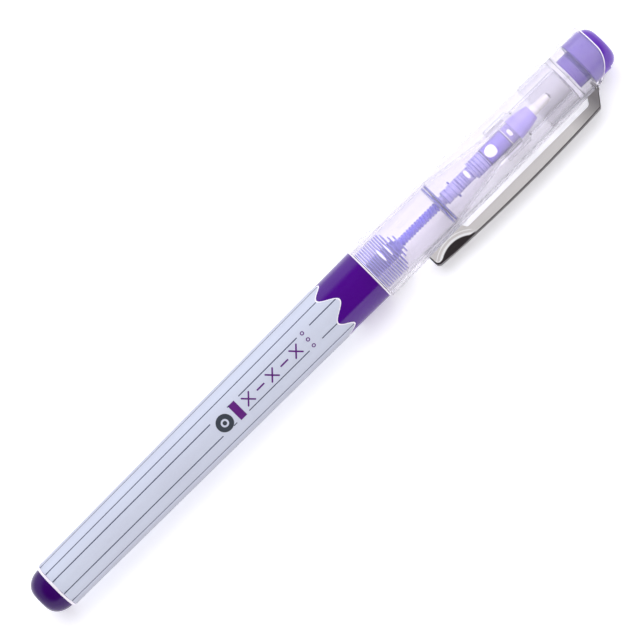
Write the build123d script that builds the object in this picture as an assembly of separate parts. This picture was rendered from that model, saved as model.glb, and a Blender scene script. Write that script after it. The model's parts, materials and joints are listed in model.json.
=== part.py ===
from build123d import *
import math
import os

# A capped liquid-ink marking pen with a large ball tip, lying on its side as it comes to rest.
# Sizes are in millimetres. Every piece is made on the pen's own axis, which is X. Places along
# it are measured from the tail, x = 0, towards the crown of the cap. Radii are measured from
# the axis. The clip stands on the -Y side until the whole pen is rolled into its resting place.

# Tail plug and barrel
tail_dome_length = 3.6
tail_flat_radius = 1.6
tail_dome_radius = 4.35
tail_spigot_length = 6.0
tail_core_radius = 2.4
tail_core_floor = 1.4
barrel_length = 78.2
barrel_tail_radius = 4.63
barrel_front_radius = 5.3
barrel_edge_length = 0.5
tank_wall = 0.85

# Printed film round the barrel. Its front edge waves, a short crest between each two long ones
film_thickness = 0.08
film_length = 71.5
film_waves = 3
film_wave_depth = 2.6
film_short_crest = 1.0
film_tail_margin = 0.05

# Clear grip section
shoulder_thickness = 0.3
grip_radius = 4.8
grip_draft = 0.15
grip_wall = 0.5
grip_spigot_length = 7.0
grip_taper_length = 12.0
grip_waist_from_taper = 7.6
grip_waist_radius = 3.5
nose_wall = 1.0
nose_straight_length = 5.6

# Ink regulator and the feed
comb_fin_pitch = 0.6
comb_fin_thickness = 0.3
comb_core_radius = 1.5
comb_tail_disc = 1.2
comb_step_radii = (3.3, 2.6, 2.0)
comb_slot_width = 0.4
stem_length = 8.8
stem_radius = 0.95
stem_groove = 0.2
stem_pitch = 0.65
feed_rod_radius = 0.6
feed_rod_dip = 8.8

# Tip holder and the pieces on it, counted back from the ball
flange_thickness = 0.9
flange_disc = 0.25
flange_hub_radius = 2.0
waist_length = 0.8
neck_length = 6.9
neck_radius = 1.33
neck_groove_width = 0.16
neck_groove_depth = 0.12
neck_groove_places = (1.3, 3.5, 4.8, 5.2)
nub_place = 2.45
nub_radius = 0.2
nub_reach = 1.85
collar_length = 3.3
collar_radius = 1.8
collar_groove_places = (0.6, 1.4, 2.9)
sleeve_length = 5.3
sleeve_radius = 1.86
ring_gap = 0.1
ring_length = 1.6
ring_radius = 1.78
ring_notch_length = 0.9
ring_notch_width = 1.6
holder_spigot_radius = 1.2
cone_length = 4.6
cone_base_radius = 2.2
cone_nose_radius = 1.5
cone_bulge = 0.12
tip_radius = 0.93
tip_lip_radius = 0.8
tip_length = 4.0
tip_taper_length = 0.9
tip_root_length = 2.8
tip_bore_radius = 0.38
ball_radius = 0.75
ball_sunk_in_lip = 0.3
wick_radius = 0.35

# Cap: shell, inner cap, crown plug and clip
mouth_gap = 0.1
cap_length = 56.2
cap_wall = 0.65
cap_taper = 0.43
cap_bore_taper = 0.5
rim_sweep_radius = 5.0
rim_sweep_start = 0.3
inner_mouth_length = 5.1
inner_mouth_wall = 0.5
inner_neck_radius = 2.4
inner_neck_wall = 0.5
inner_step_length = 0.8
inner_skirt_length = 8.1
inner_skirt_wall = 0.5
inner_web = 1.2
tip_room = 3.35
seal_overlap = 4.1
crown_neck_step = 1.34
crown_neck_length = 2.7
crown_plug_length = 4.3
crown_lip_length = 0.5
crown_head_step = 0.32
crown_head_height = 1.6
crown_corner = 2.0

clip_width = 4.0
clip_sheet = 0.4
clip_length = 42.3
clip_slope_run = 2.2
clip_slope_height = 8.2
clip_foot_height = 7.9
clip_bow = 0.6
clip_edge_height = 6.55
clip_root_run = 2.7
clip_pad_length = 8.1
clip_pad_ramp = 0.4
clip_toe_radius = 1.0
clip_throat_radius = 0.8
clip_bend_radius = 0.3
clip_scoop_place = 4.4
clip_scoop_length = 7.6
clip_scoop_height = 1.5
clip_scoop_depth = 0.7
tang_width = 2.8
tang_depth = 1.05

# Clearances
push_fit = 0.03
ball_clearance = 0.02
rod_clearance = 0.02
holder_clearance = 0.09
comb_clearance = 0.1
cap_clearance = 0.2
seal_clearance = 0.1
crown_clearance = 0.05
seat_gap = 0.05
clip_clearance = 0.06
slot_clearance = 0.2

# How far a cutting shape runs past what it cuts
cut_margin = 1.0

# Places along the pen that follow from those sizes
barrel_tail = tail_dome_length
barrel_front = barrel_tail + barrel_length
shoulder_front = barrel_front + shoulder_thickness
cap_mouth = shoulder_front + mouth_gap
cap_rim = cap_mouth + cap_length
crown_end = cap_rim + crown_head_height
crown_seat = cap_rim - crown_plug_length
crown_foot = crown_seat - crown_neck_length
inner_end = crown_foot - seat_gap
inner_floor = inner_end - inner_web
ball_centre = inner_floor - tip_room - ball_radius
tip_front = ball_centre + ball_sunk_in_lip
cone_front = tip_front - tip_length
cone_back = cone_front - cone_length
ring_back = cone_back - ring_length
sleeve_front = ring_back - ring_gap
sleeve_back = sleeve_front - sleeve_length
collar_back = sleeve_back - collar_length
neck_back = collar_back - neck_length
flange_front = neck_back - waist_length
flange_back = flange_front - flange_thickness
stem_front = flange_back - seat_gap
stem_back = stem_front - stem_length
grip_back = barrel_front - grip_spigot_length
nose_front = cone_back - seat_gap
nose_back = nose_front - nose_straight_length
taper_back = nose_back - grip_taper_length
tank_front = grip_back - seat_gap
ink_back = barrel_tail + tail_spigot_length + seat_gap
feed_rod_back = grip_back - feed_rod_dip
clip_root = crown_seat - 2 * slot_clearance
clip_toe = clip_root - clip_length

# Radii that follow from those sizes
tank_bore = barrel_tail_radius - tank_wall
socket_bore = grip_radius + push_fit
grip_bore = grip_radius - grip_wall
grip_front_radius = grip_radius - grip_draft
fin_radius = grip_bore - comb_clearance
flange_radius = grip_bore - push_fit
feed_bore = feed_rod_radius + rod_clearance
nose_bore = sleeve_radius + holder_clearance
nose_radius = nose_bore + nose_wall
mouth_bore = grip_radius + cap_clearance
mouth_radius = mouth_bore + cap_wall


def barrel_outside(x):
    """The barrel's outer radius at x."""
    share = (x - barrel_tail) / barrel_length
    return barrel_tail_radius + share * (barrel_front_radius - barrel_tail_radius)


def cap_outside(x):
    """The cap shell's outer radius at x."""
    return mouth_radius - cap_taper * (x - cap_mouth) / cap_length


def cap_bore(x):
    """The cap shell's inner radius at x."""
    return mouth_bore - cap_bore_taper * (x - cap_mouth) / cap_length


def turned(*outline):
    """A solid turned about the pen's axis from corners (x, radius) in order."""
    return revolve(make_face(Polyline(*outline, close=True)), Axis.X)


def rod(start, end, radius):
    """A plain round rod on the pen's axis."""
    return turned((start, 0), (start, radius), (end, radius), (end, 0))


def tail_plug():
    dome = EllipticalCenterArc(
        (tail_dome_length, tail_flat_radius),
        tail_dome_length,
        tail_dome_radius - tail_flat_radius,
        start_angle=90,
        arc_size=90,
    )
    spigot = tank_bore - push_fit
    spigot_end = barrel_tail + tail_spigot_length
    rest = Polyline(
        (0, tail_flat_radius),
        (0, 0),
        (barrel_tail + tail_core_floor, 0),
        (barrel_tail + tail_core_floor, tail_core_radius),
        (spigot_end, tail_core_radius),
        (spigot_end, spigot),
        (barrel_tail, spigot),
        (barrel_tail, tail_dome_radius),
    )
    return revolve(make_face([dome, rest]), Axis.X)


def barrel():
    edge = barrel_tail + barrel_edge_length
    return turned(
        (barrel_tail, tail_dome_radius),
        (edge, barrel_outside(edge)),
        (barrel_front, barrel_front_radius),
        (barrel_front, socket_bore),
        (tank_front, socket_bore),
        (tank_front, tank_bore),
        (barrel_tail, tank_bore),
    )


def film_edge(front, turn):
    """Where the film's front edge is, at this turn from the middle of a short crest."""
    shortfall = film_short_crest * (1 + math.cos(film_waves * turn)) / 2
    bite = film_wave_depth * (1 - math.cos(2 * film_waves * turn)) / 2
    return front - shortfall - bite


def wave_cutter(front):
    """What one wave leaves out of the film, from one long crest to the next, facing +Z."""
    reach = barrel_front_radius + film_thickness
    half = math.pi / film_waves
    turns = [half * step / 12 for step in range(-12, 13)]
    wave = [(film_edge(front, turn), reach * math.sin(turn)) for turn in turns]
    ahead = front + cut_margin
    edges = [Spline(*wave), Polyline(wave[-1], (ahead, wave[-1][1]), (ahead, wave[0][1]), wave[0])]
    floor = reach * math.cos(half) - cut_margin
    return Pos(0, 0, floor) * extrude(make_face(edges), amount=reach + cut_margin - floor)


def barrel_wrap():
    start = barrel_tail + film_tail_margin
    edge = barrel_tail + barrel_edge_length
    front = barrel_tail + film_length
    rise = (barrel_outside(edge) - tail_dome_radius) / barrel_edge_length
    start_radius = tail_dome_radius + rise * film_tail_margin
    film = turned(
        (start, start_radius),
        (start, start_radius + film_thickness),
        (edge, barrel_outside(edge) + film_thickness),
        (front, barrel_outside(front) + film_thickness),
        (front, barrel_outside(front)),
        (edge, barrel_outside(edge)),
    )
    for count in range(film_waves):
        film -= Rot(X=360 / film_waves * (count + 0.5)) * wave_cutter(front)
    return film


def ink_fill():
    dry = tank_bore - push_fit
    return rod(ink_back, tank_front, dry) - rod(feed_rod_back, tank_front, feed_bore)


def grip_section():
    waist = taper_back + grip_waist_from_taper
    flange_seat = flange_front + push_fit
    return turned(
        (grip_back, grip_radius),
        (barrel_front, grip_radius),
        (barrel_front, barrel_front_radius),
        (shoulder_front, barrel_front_radius),
        (shoulder_front, grip_radius),
        (taper_back, grip_front_radius),
        (waist, grip_waist_radius),
        (nose_back, nose_radius),
        (nose_front, nose_radius),
        (nose_front, nose_bore),
        (nose_back, nose_bore),
        (waist, grip_waist_radius - grip_wall),
        (flange_seat, grip_bore - grip_wall / 2),
        (flange_seat, grip_bore),
        (grip_back, grip_bore),
    )


def ink_collector():
    start = grip_back + seat_gap
    outline = [(start, feed_bore), (start, fin_radius), (start + comb_tail_disc, fin_radius)]
    x = start + comb_tail_disc
    radii = [fin_radius] * int((stem_back - x) / comb_fin_pitch - len(comb_step_radii))
    for radius in radii + list(comb_step_radii):
        gap_end = x + comb_fin_pitch - comb_fin_thickness
        outline += [(x, comb_core_radius), (gap_end, comb_core_radius), (gap_end, radius)]
        x += comb_fin_pitch
        outline += [(x, radius)]
    outline += [(x, stem_radius)]
    groove_floor = stem_radius - stem_groove
    for count in range(int((stem_front - x) / stem_pitch)):
        ridge_end = x + stem_pitch / 2
        x += stem_pitch
        outline += [(ridge_end, stem_radius), (ridge_end, groove_floor)]
        outline += [(x, groove_floor), (x, stem_radius)]
    outline += [(stem_front, stem_radius), (stem_front, feed_bore)]
    slot_length = stem_back - start - comb_tail_disc
    slot_floor = comb_core_radius - comb_slot_width / 2
    slot = Box(
        slot_length,
        comb_slot_width,
        fin_radius,
        align=(Align.MIN, Align.CENTER, Align.MIN),
    )
    return turned(*outline) - Pos(start + comb_tail_disc, 0, slot_floor) * slot


def feed_rod():
    return rod(feed_rod_back, sleeve_front, feed_rod_radius)


def grooves(start, places, radius):
    """Narrow turned grooves cut into a rod of this radius."""
    cuts = []
    for place in places:
        low = start + place
        cuts += [
            turned(
                (low, radius - neck_groove_depth),
                (low, radius + cut_margin),
                (low + neck_groove_width, radius + cut_margin),
                (low + neck_groove_width, radius - neck_groove_depth),
            )
        ]
    return cuts


def tip_holder():
    body = turned(
        (flange_back, feed_bore),
        (flange_back, flange_radius),
        (flange_back + flange_disc, flange_radius),
        (flange_back + flange_disc, flange_hub_radius),
        (flange_front - flange_disc, flange_hub_radius),
        (flange_front - flange_disc, flange_radius),
        (flange_front, flange_radius),
        (flange_front, stem_radius),
        (neck_back, stem_radius),
        (neck_back, neck_radius),
        (collar_back, neck_radius),
        (collar_back, collar_radius),
        (sleeve_back, collar_radius),
        (sleeve_back, holder_spigot_radius),
        (sleeve_front, holder_spigot_radius),
        (sleeve_front, feed_bore),
    )
    nub = Pos(neck_back + nub_place, 0, 0) * Rot(X=90) * Cylinder(nub_radius, 2 * nub_reach)
    nub -= rod(flange_front, sleeve_front, neck_radius - neck_groove_depth)
    for cut in grooves(neck_back, neck_groove_places, neck_radius):
        body -= cut
    for cut in grooves(collar_back, collar_groove_places, collar_radius):
        body -= cut
    return body + nub


def sight_sleeve():
    bore = holder_spigot_radius + push_fit
    return rod(sleeve_back, sleeve_front, sleeve_radius) - rod(sleeve_back, sleeve_front, bore)


def lock_ring():
    bore = holder_spigot_radius + push_fit
    ring = rod(ring_back, cone_back, ring_radius) - rod(ring_back, cone_back, bore)
    middle = (ring_back + cone_back) / 2
    floor = (ring_radius + bore) / 2
    depth = ring_radius - floor + cut_margin
    notch = Box(ring_notch_length, ring_notch_width, depth)
    return ring - Pos(middle, 0, floor + depth / 2) * notch


def nose_cone():
    middle = (cone_back + cone_front) / 2
    bulge_radius = (cone_base_radius + cone_nose_radius) / 2 + cone_bulge
    base = (cone_back, cone_base_radius)
    nose = (cone_front, cone_nose_radius)
    side = ThreePointArc(base, (middle, bulge_radius), nose)
    tip_hole = tip_radius + push_fit
    tip_stop = cone_front - tip_root_length
    wick_hole = wick_radius + rod_clearance
    rest = Polyline(
        nose,
        (cone_front, tip_hole),
        (tip_stop, tip_hole),
        (tip_stop, wick_hole),
        (ring_back, wick_hole),
        (ring_back, holder_spigot_radius),
        (cone_back, holder_spigot_radius),
        base,
    )
    return revolve(make_face([side, rest]), Axis.X)


def tip_tube():
    back = cone_front - tip_root_length + push_fit
    body = turned(
        (back, tip_bore_radius),
        (back, tip_radius),
        (tip_front - tip_taper_length, tip_radius),
        (tip_front, tip_lip_radius),
        (tip_front, tip_bore_radius),
    )
    return body - Pos(ball_centre, 0, 0) * Sphere(ball_radius + ball_clearance)


def tip_wick():
    return rod(ring_back + seat_gap, ball_centre - ball_radius - seat_gap, wick_radius)


def writing_ball():
    return Pos(ball_centre, 0, 0) * Sphere(ball_radius)


def side_view(x, height):
    """A point of the clip's side view, at this height from the pen's axis on the clip's side."""
    return (x, -height)


def rim_sweep():
    """What the rounded sweep of the rim takes away, on the clip's side only."""
    centre = cap_rim - rim_sweep_radius
    low = rim_sweep_start
    high = rim_sweep_start + rim_sweep_radius
    mid = rim_sweep_radius * math.sqrt(0.5)
    arc = ThreePointArc(
        side_view(cap_rim, low), side_view(centre + mid, low + mid), side_view(centre, high)
    )
    rest = Polyline(
        side_view(centre, high),
        side_view(centre, high + cut_margin),
        side_view(cap_rim + cut_margin, high + cut_margin),
        side_view(cap_rim + cut_margin, low),
        side_view(cap_rim, low),
    )
    return extrude(make_face([arc, rest]), amount=mouth_radius, both=True)


def cap_shell():
    shell = turned(
        (cap_mouth, mouth_bore),
        (cap_mouth, mouth_radius),
        (cap_rim, cap_outside(cap_rim)),
        (cap_rim, cap_bore(cap_rim)),
    )
    slot_length = clip_sheet + 2 * slot_clearance
    slot_width = tang_width + 2 * slot_clearance
    slot_middle = clip_root - clip_sheet / 2
    slot_depth = 2 * (cap_wall + cut_margin)
    slot = Pos(slot_middle, -mouth_bore, 0) * Box(slot_length, slot_depth, slot_width)
    return shell - slot - rim_sweep()


def inner_cap():
    mouth = nose_front - seal_overlap
    step = mouth + inner_mouth_length
    neck = step + inner_step_length
    seal = nose_radius + seal_clearance
    skirt = inner_end - inner_skirt_length
    return turned(
        (mouth, seal),
        (mouth, seal + inner_mouth_wall),
        (step, seal + inner_mouth_wall),
        (neck, inner_neck_radius + inner_neck_wall),
        (inner_floor, inner_neck_radius + inner_neck_wall),
        (inner_floor, cap_bore(inner_end) - push_fit - inner_skirt_wall),
        (skirt, cap_bore(skirt) - push_fit - inner_skirt_wall),
        (skirt, cap_bore(skirt) - push_fit),
        (inner_end, cap_bore(inner_end) - push_fit),
        (inner_end, 0),
        (inner_floor, 0),
        (inner_floor, inner_neck_radius),
        (neck, inner_neck_radius),
        (step, seal),
    )


def crown_plug():
    lip = cap_rim - crown_lip_length
    neck_radius = cap_bore(crown_seat) - crown_neck_step
    head_radius = cap_bore(cap_rim) - crown_head_step
    corner_x = crown_end - crown_corner
    corner_radius = head_radius - crown_corner
    slant = crown_corner * math.sqrt(0.5)
    corner = ThreePointArc(
        (corner_x, head_radius),
        (corner_x + slant, corner_radius + slant),
        (crown_end, corner_radius),
    )
    rest = Polyline(
        (crown_end, corner_radius),
        (crown_end, 0),
        (crown_foot, 0),
        (crown_foot, neck_radius),
        (crown_seat, neck_radius),
        (crown_seat, cap_bore(crown_seat) - crown_clearance),
        (lip, cap_bore(lip) - crown_clearance),
        (lip, head_radius),
        (corner_x, head_radius),
    )
    return revolve(make_face([corner, rest]), Axis.X)


def face_height(x):
    """How far the clip's face stands from the axis at x: a chord with a shallow bow on it."""
    share = (clip_root - clip_slope_run - x) / (clip_root - clip_slope_run - clip_toe)
    chord = clip_slope_height + (clip_foot_height - clip_slope_height) * share
    return chord + 4 * clip_bow * share * (1 - share)


def clip_face(drop, start, end):
    """The bowed line of the clip's face, this far under its outside, from crown end to toe."""
    places = (start, (start + end) / 2, end)
    return ThreePointArc(*[side_view(x, face_height(x) - drop) for x in places])


def scoop_balls(grown):
    """The two balls that press the toe's corners in, one on each side, grown by this much."""
    place = clip_toe + clip_scoop_place
    half = clip_scoop_length / 2
    arc_radius = (half**2 + clip_scoop_height**2) / (2 * clip_scoop_height)
    beyond_face = arc_radius - clip_scoop_height
    beyond_side = (half**2 - clip_scoop_depth**2) / (2 * clip_scoop_depth)
    ball = Sphere(math.hypot(arc_radius, beyond_side) + grown)
    height = face_height(place) + beyond_face
    across = clip_width / 2 + beyond_side
    return [Pos(place, -height, side * across) * ball for side in (1, -1)]


def pocket_clip():
    bend = clip_root - clip_slope_run
    pad_end = clip_toe + clip_pad_length
    root_back = clip_root - clip_root_run
    root_height = cap_outside(root_back) + clip_clearance
    pad_height = cap_outside(clip_toe) + clip_clearance
    face_line = clip_face(0, bend, clip_toe)
    rest = Polyline(
        side_view(clip_toe, clip_foot_height),
        side_view(clip_toe, pad_height),
        side_view(pad_end, pad_height),
        side_view(pad_end + clip_pad_ramp, clip_edge_height),
        side_view(root_back - clip_throat_radius, clip_edge_height),
        side_view(root_back, root_height),
        side_view(clip_root, root_height),
        side_view(bend, clip_slope_height),
    )
    plate = make_face([face_line, rest])
    toe = plate.vertices().sort_by_distance(side_view(clip_toe, clip_foot_height))[0]
    plate = fillet(toe, clip_toe_radius)
    top = plate.vertices().sort_by_distance(side_view(bend, clip_slope_height))[0]
    plate = fillet(top, clip_bend_radius)
    bar = extrude(plate, amount=clip_width / 2, both=True)

    slope = math.atan2(clip_slope_height - root_height, clip_slope_run)
    inner_run = clip_sheet / math.sin(slope)
    inner_bend = bend + (clip_sheet / math.tan(slope)) - inner_run
    inner_toe = clip_toe + clip_sheet
    inner_line = clip_face(clip_sheet, inner_bend, inner_toe)
    below = root_height - cap_wall
    low_run = (clip_slope_height - below) / math.tan(slope)
    ends = inner_line @ 0, inner_line @ 1
    hollow_rest = Polyline(
        ends[1],
        side_view(inner_toe, below),
        side_view(bend + low_run - inner_run, below),
        ends[0],
    )
    hollow = make_face([inner_line, hollow_rest])
    room = extrude(hollow, amount=clip_width / 2 - clip_sheet, both=True)
    for ball in scoop_balls(clip_sheet):
        room -= ball
    bar -= room
    for ball in scoop_balls(0):
        bar -= ball

    tang_top = root_height + clip_sheet
    tang_end = root_height - cap_wall - tang_depth
    tang_middle = (tang_top + tang_end) / 2
    tang = Box(clip_sheet, tang_top - tang_end, tang_width)
    bar += Pos(clip_root - clip_sheet / 2, -tang_middle, 0) * tang
    return bar


pieces = {
    "rear_plug": tail_plug(),
    "barrel": barrel(),
    "barrel_wrap": barrel_wrap(),
    "ink_fill": ink_fill(),
    "grip_section": grip_section(),
    "ink_collector": ink_collector(),
    "feed_rod": feed_rod(),
    "tip_holder": tip_holder(),
    "sight_sleeve": sight_sleeve(),
    "lock_ring": lock_ring(),
    "nose_cone": nose_cone(),
    "tip_tube": tip_tube(),
    "tip_wick": tip_wick(),
    "writing_ball": writing_ball(),
    "cap_shell": cap_shell(),
    "inner_cap": inner_cap(),
    "crown_plug": crown_plug(),
    "pocket_clip": pocket_clip(),
}

# The pen lies on the mouth of its cap and on one long edge of the clip's face. The roll is the
# angle at which both are at the same depth under the axis.
clip_reach = -pieces["pocket_clip"].bounding_box().min.Y
corner_reach = math.hypot(clip_reach, clip_width / 2)
corner_angle = math.atan2(clip_width / 2, clip_reach)
roll = math.asin(mouth_radius / corner_reach) - corner_angle
clip_side = clip_reach * math.cos(roll) + clip_width / 2 * math.sin(roll)
axis_shift = (clip_side - mouth_radius) / 2
resting = Pos(-crown_end / 2, axis_shift, mouth_radius) * Rot(X=math.degrees(roll))

os.makedirs("parts", exist_ok=True)
for name, piece in pieces.items():
    export_step(resting * piece, "parts/" + name + ".step")
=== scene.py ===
# %% [markdown]
# A capped marking pen of purple, clear and milky plastic, with a steel pocket clip. It lies on a pale
# table. Every piece below is a surface worked out with numpy around the pen's own axis, then laid in
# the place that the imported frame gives. Most pieces are turned: a profile carried round the axis.

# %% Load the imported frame
import json
import math
import bpy
import numpy as np
from mathutils import Matrix, Vector


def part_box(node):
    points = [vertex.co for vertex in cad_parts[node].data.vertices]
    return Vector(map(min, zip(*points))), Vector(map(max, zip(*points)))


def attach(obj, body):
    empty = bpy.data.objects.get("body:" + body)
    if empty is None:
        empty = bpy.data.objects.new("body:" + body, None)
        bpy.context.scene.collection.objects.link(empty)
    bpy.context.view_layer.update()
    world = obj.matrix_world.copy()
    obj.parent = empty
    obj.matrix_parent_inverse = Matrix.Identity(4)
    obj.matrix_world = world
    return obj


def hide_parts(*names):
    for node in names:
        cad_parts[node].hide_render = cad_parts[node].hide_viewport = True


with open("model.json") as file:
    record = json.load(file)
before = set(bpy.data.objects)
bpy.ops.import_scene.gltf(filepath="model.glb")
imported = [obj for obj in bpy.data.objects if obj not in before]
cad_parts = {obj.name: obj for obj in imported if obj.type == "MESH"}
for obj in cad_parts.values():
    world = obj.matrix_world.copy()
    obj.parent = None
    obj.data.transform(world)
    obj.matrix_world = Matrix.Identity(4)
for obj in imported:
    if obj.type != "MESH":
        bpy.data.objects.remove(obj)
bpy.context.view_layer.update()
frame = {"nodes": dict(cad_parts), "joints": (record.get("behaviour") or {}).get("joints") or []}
print("nodes:", sorted(frame["nodes"]))

# %% [markdown]
# The pen's own frame is easier to think in than the table's. Places run along the pen in millimetres
# from its tail. A turn is an angle round the axis: 0 faces up out of the clip's side view, and 90
# degrees is the way the clip points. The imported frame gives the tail, the axis and the roll at which
# the pen rests on its cap's mouth and its clip.

# %% The pen's own frame
MM = 0.001
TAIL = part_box("rear_plug")[0].x
AXIS = (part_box("barrel")[0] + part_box("barrel")[1]) / 2
FLEX = next(joint for joint in frame["joints"] if joint["name"] == "clip_flex")
ROLL = math.atan2(-FLEX["axis"][1], FLEX["axis"][2])
FULL_TURN = 2 * math.pi


def span(node):
    """Where a CAD node starts and ends along the pen, in millimetres from the tail."""
    low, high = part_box(node)
    return (low.x - TAIL) / MM, (high.x - TAIL) / MM


def reach(node):
    """A turned CAD node's largest radius, in millimetres: half its width across the pen."""
    low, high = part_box(node)
    return (high.z - low.z) / 2 / MM


def lay(points):
    """Own-frame points in millimetres (along, away from the clip, up) rolled and moved to the row frame."""
    turn = Matrix.Rotation(ROLL, 3, "X")
    middle = np.array([TAIL, AXIS.y, AXIS.z])
    return np.asarray(points, float) * MM @ np.array(turn).T + middle


def on_turn(along, radius, turn):
    """Points at these places, radii and turns, as an array of own-frame points."""
    along, radius, turn = np.broadcast_arrays(along, radius, turn)
    return np.stack([along, -radius * np.sin(turn), radius * np.cos(turn)], axis=-1)


print("roll in degrees:", round(math.degrees(ROLL), 2), "length in mm:", span("crown_plug")[1])

# %% [markdown]
# A mesh is points and faces. All grids here share one way to make faces: each cell of a grid of points
# is a quad, and a side that closes on itself wraps round. The signed volume tells whether the faces
# point outwards, and they are turned over if they don't.

# %% Mesh helpers


def grid_faces(rows, columns, wrap_rows=True, wrap_columns=True, first=0):
    """Quads of a grid of points numbered row by row, with wrapping sides where asked."""
    down = np.arange(rows if wrap_rows else rows - 1)[:, None]
    over = np.arange(columns if wrap_columns else columns - 1)[None, :]
    next_down, next_over = (down + 1) % rows, (over + 1) % columns
    corners = [down * columns + over, down * columns + next_over]
    corners += [next_down * columns + next_over, next_down * columns + over]
    return np.stack(corners, axis=-1).reshape(-1, 4) + first


def signed_volume(points, faces):
    """Sum of the volumes of the pyramids from the middle to each face, positive if faces point out."""
    middle = points.mean(axis=0)
    a, b, c = (points[faces[:, k]] - middle for k in (0, 1, 2))
    d = points[faces[:, -1]] - middle
    pyramids = np.einsum("ij,ij->i", a, np.cross(b, c)) + np.einsum("ij,ij->i", a, np.cross(c, d))
    return pyramids.sum() / 6


def end_fan(count, first, flip):
    """Triangles that close an end ring of this many points, from its first point."""
    step = np.arange(1, count - 1)
    fan = np.stack([np.zeros_like(step), step, step + 1], axis=-1) + first
    return fan[:, ::-1] if flip else fan


def make_mesh(name, shells, smooth_angle=35.0):
    """One object from closed shells, each (own-frame points, quads or triangles), facing outwards."""
    all_points, all_loops, sizes, count = [], [], [], 0
    for points, face_sets in shells:
        points = lay(points.reshape(-1, 3))
        whole = np.concatenate([np.c_[f, f[:, -1:]] if f.shape[1] == 3 else f for f in face_sets])
        outward = signed_volume(points, whole) > 0
        for faces in face_sets:
            all_loops.append((faces if outward else faces[:, ::-1]).ravel() + count)
            sizes.append(np.full(len(faces), faces.shape[1]))
        all_points.append(points)
        count += len(points)
    mesh = bpy.data.meshes.new(name)
    points, loops, sizes = map(np.concatenate, (all_points, all_loops, sizes))
    mesh.vertices.add(len(points))
    mesh.vertices.foreach_set("co", points.astype(np.float32).ravel())
    mesh.loops.add(len(loops))
    mesh.loops.foreach_set("vertex_index", loops.astype(np.int32))
    mesh.polygons.add(len(sizes))
    mesh.polygons.foreach_set("loop_start", np.r_[0, np.cumsum(sizes)[:-1]].astype(np.int32))
    mesh.update(calc_edges=True)
    mesh.shade_smooth()
    mesh.set_sharp_from_angle(angle=math.radians(smooth_angle))
    mesh.validate()
    piece = bpy.data.objects.new(name, mesh)
    bpy.context.scene.collection.objects.link(piece)
    return piece


def finish_piece(piece, body, nodes, material):
    """Gives a piece its body, the CAD nodes it stands for and its material."""
    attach(piece, body)
    if nodes:
        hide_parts(*nodes)
    piece.data.materials.append(material)
    print(piece.name, "faces:", len(piece.data.polygons))
    return piece


def carry(piece, name, values):
    """Gives each point of a piece a number, which its material reads by this name."""
    attribute = piece.data.attributes.new(name, "FLOAT", "POINT")
    attribute.data.foreach_set("value", np.asarray(values, np.float32).ravel())


print("quads of a closed grid of 4 by 6 points:", len(grid_faces(4, 6)))

# %% [markdown]
# No moulded edge is truly sharp. A profile is given by its corners, each with a small radius, and the
# corner is replaced by an arc that touches both sides.

# %% Rounded profiles
CORNER_STEPS = 5
CORNER_ROOM = 0.49
GUARD_SHARE, SMALLEST_GUARD = 0.3, 1e-4
NEARLY_STRAIGHT = math.radians(89)


def rounded(corners, closed):
    """Corners (along, radius, edge radius) in order, with each corner replaced by a tangent arc.
    The arc's centre lies on the corner's bisector, and its half angle is half the turn there. A guard
    point on each straight side keeps the arc's shading from spreading along that side."""
    outline = []
    count = len(corners)
    for k, (x, r, edge) in enumerate(corners):
        point = np.array([x, r], float)
        if not edge or (not closed and k in (0, count - 1)):
            outline.append(point)
            continue
        back = np.array(corners[k - 1][:2]) - point
        ahead = np.array(corners[(k + 1) % count][:2]) - point
        room = min(np.hypot(*back), np.hypot(*ahead)) * CORNER_ROOM
        back, ahead = back / np.hypot(*back), ahead / np.hypot(*ahead)
        half = math.acos(np.clip(back @ ahead, -1, 1)) / 2
        if half > NEARLY_STRAIGHT:
            outline.append(point)
            continue
        cut = min(edge / math.tan(half), room)
        edge = cut * math.tan(half)
        middle = point + (back + ahead) / np.hypot(*(back + ahead)) * edge / math.sin(half)
        start, end = point + back * cut - middle, point + ahead * cut - middle
        share = np.linspace(0, 1, CORNER_STEPS)[:, None]
        arc = start * (1 - share) + end * share
        guard = min(GUARD_SHARE * cut, room - cut)
        if guard > SMALLEST_GUARD:
            outline.append(point + back * (cut + guard))
        outline += list(middle + arc / np.hypot(arc[:, 0], arc[:, 1])[:, None] * edge)
        if guard > SMALLEST_GUARD:
            outline.append(point + ahead * (cut + guard))
    return np.array(outline)


def turned_shell(profile, columns=128):
    """A profile carried round the axis. A profile that starts and ends on the axis closes in two
    poles, each a fan of triangles. Any other profile closes on itself, as a ring does."""
    turn = np.arange(columns) * FULL_TURN / columns
    if profile[0, 1] > 0:
        points = on_turn(profile[:, :1], profile[:, 1:], turn[None, :])
        return points, [grid_faces(len(profile), columns)]
    body = profile[1:-1]
    points = on_turn(body[:, :1], body[:, 1:], turn[None, :]).reshape(-1, 3)
    poles = np.array([[profile[0, 0], 0, 0], [profile[-1, 0], 0, 0]])
    around = np.arange(columns)
    beside = (around + 1) % columns
    last = (len(body) - 1) * columns
    low_pole = np.full(columns, len(points))
    low_fan = np.stack([beside, around, low_pole], axis=-1)
    high_fan = np.stack([around + last, beside + last, low_pole + 1], axis=-1)
    quads = grid_faces(len(body), columns, wrap_rows=False)
    return np.concatenate([points, poles]), [quads, low_fan, high_fan]


def turned_piece(name, corners, body, nodes, material, columns=128):
    """A turned piece from its corners, on the axis at both ends or closed as a ring."""
    closed = corners[0][1] > 0
    shell = turned_shell(rounded(corners, closed), columns)
    return finish_piece(make_mesh(name, [shell]), body, nodes, material)


square = [(0, 1, 0.2), (2, 1, 0.2), (2, 3, 0.2), (0, 3, 0.2)]
print("points of a square with rounded corners:", len(rounded(square, True)))

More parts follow.
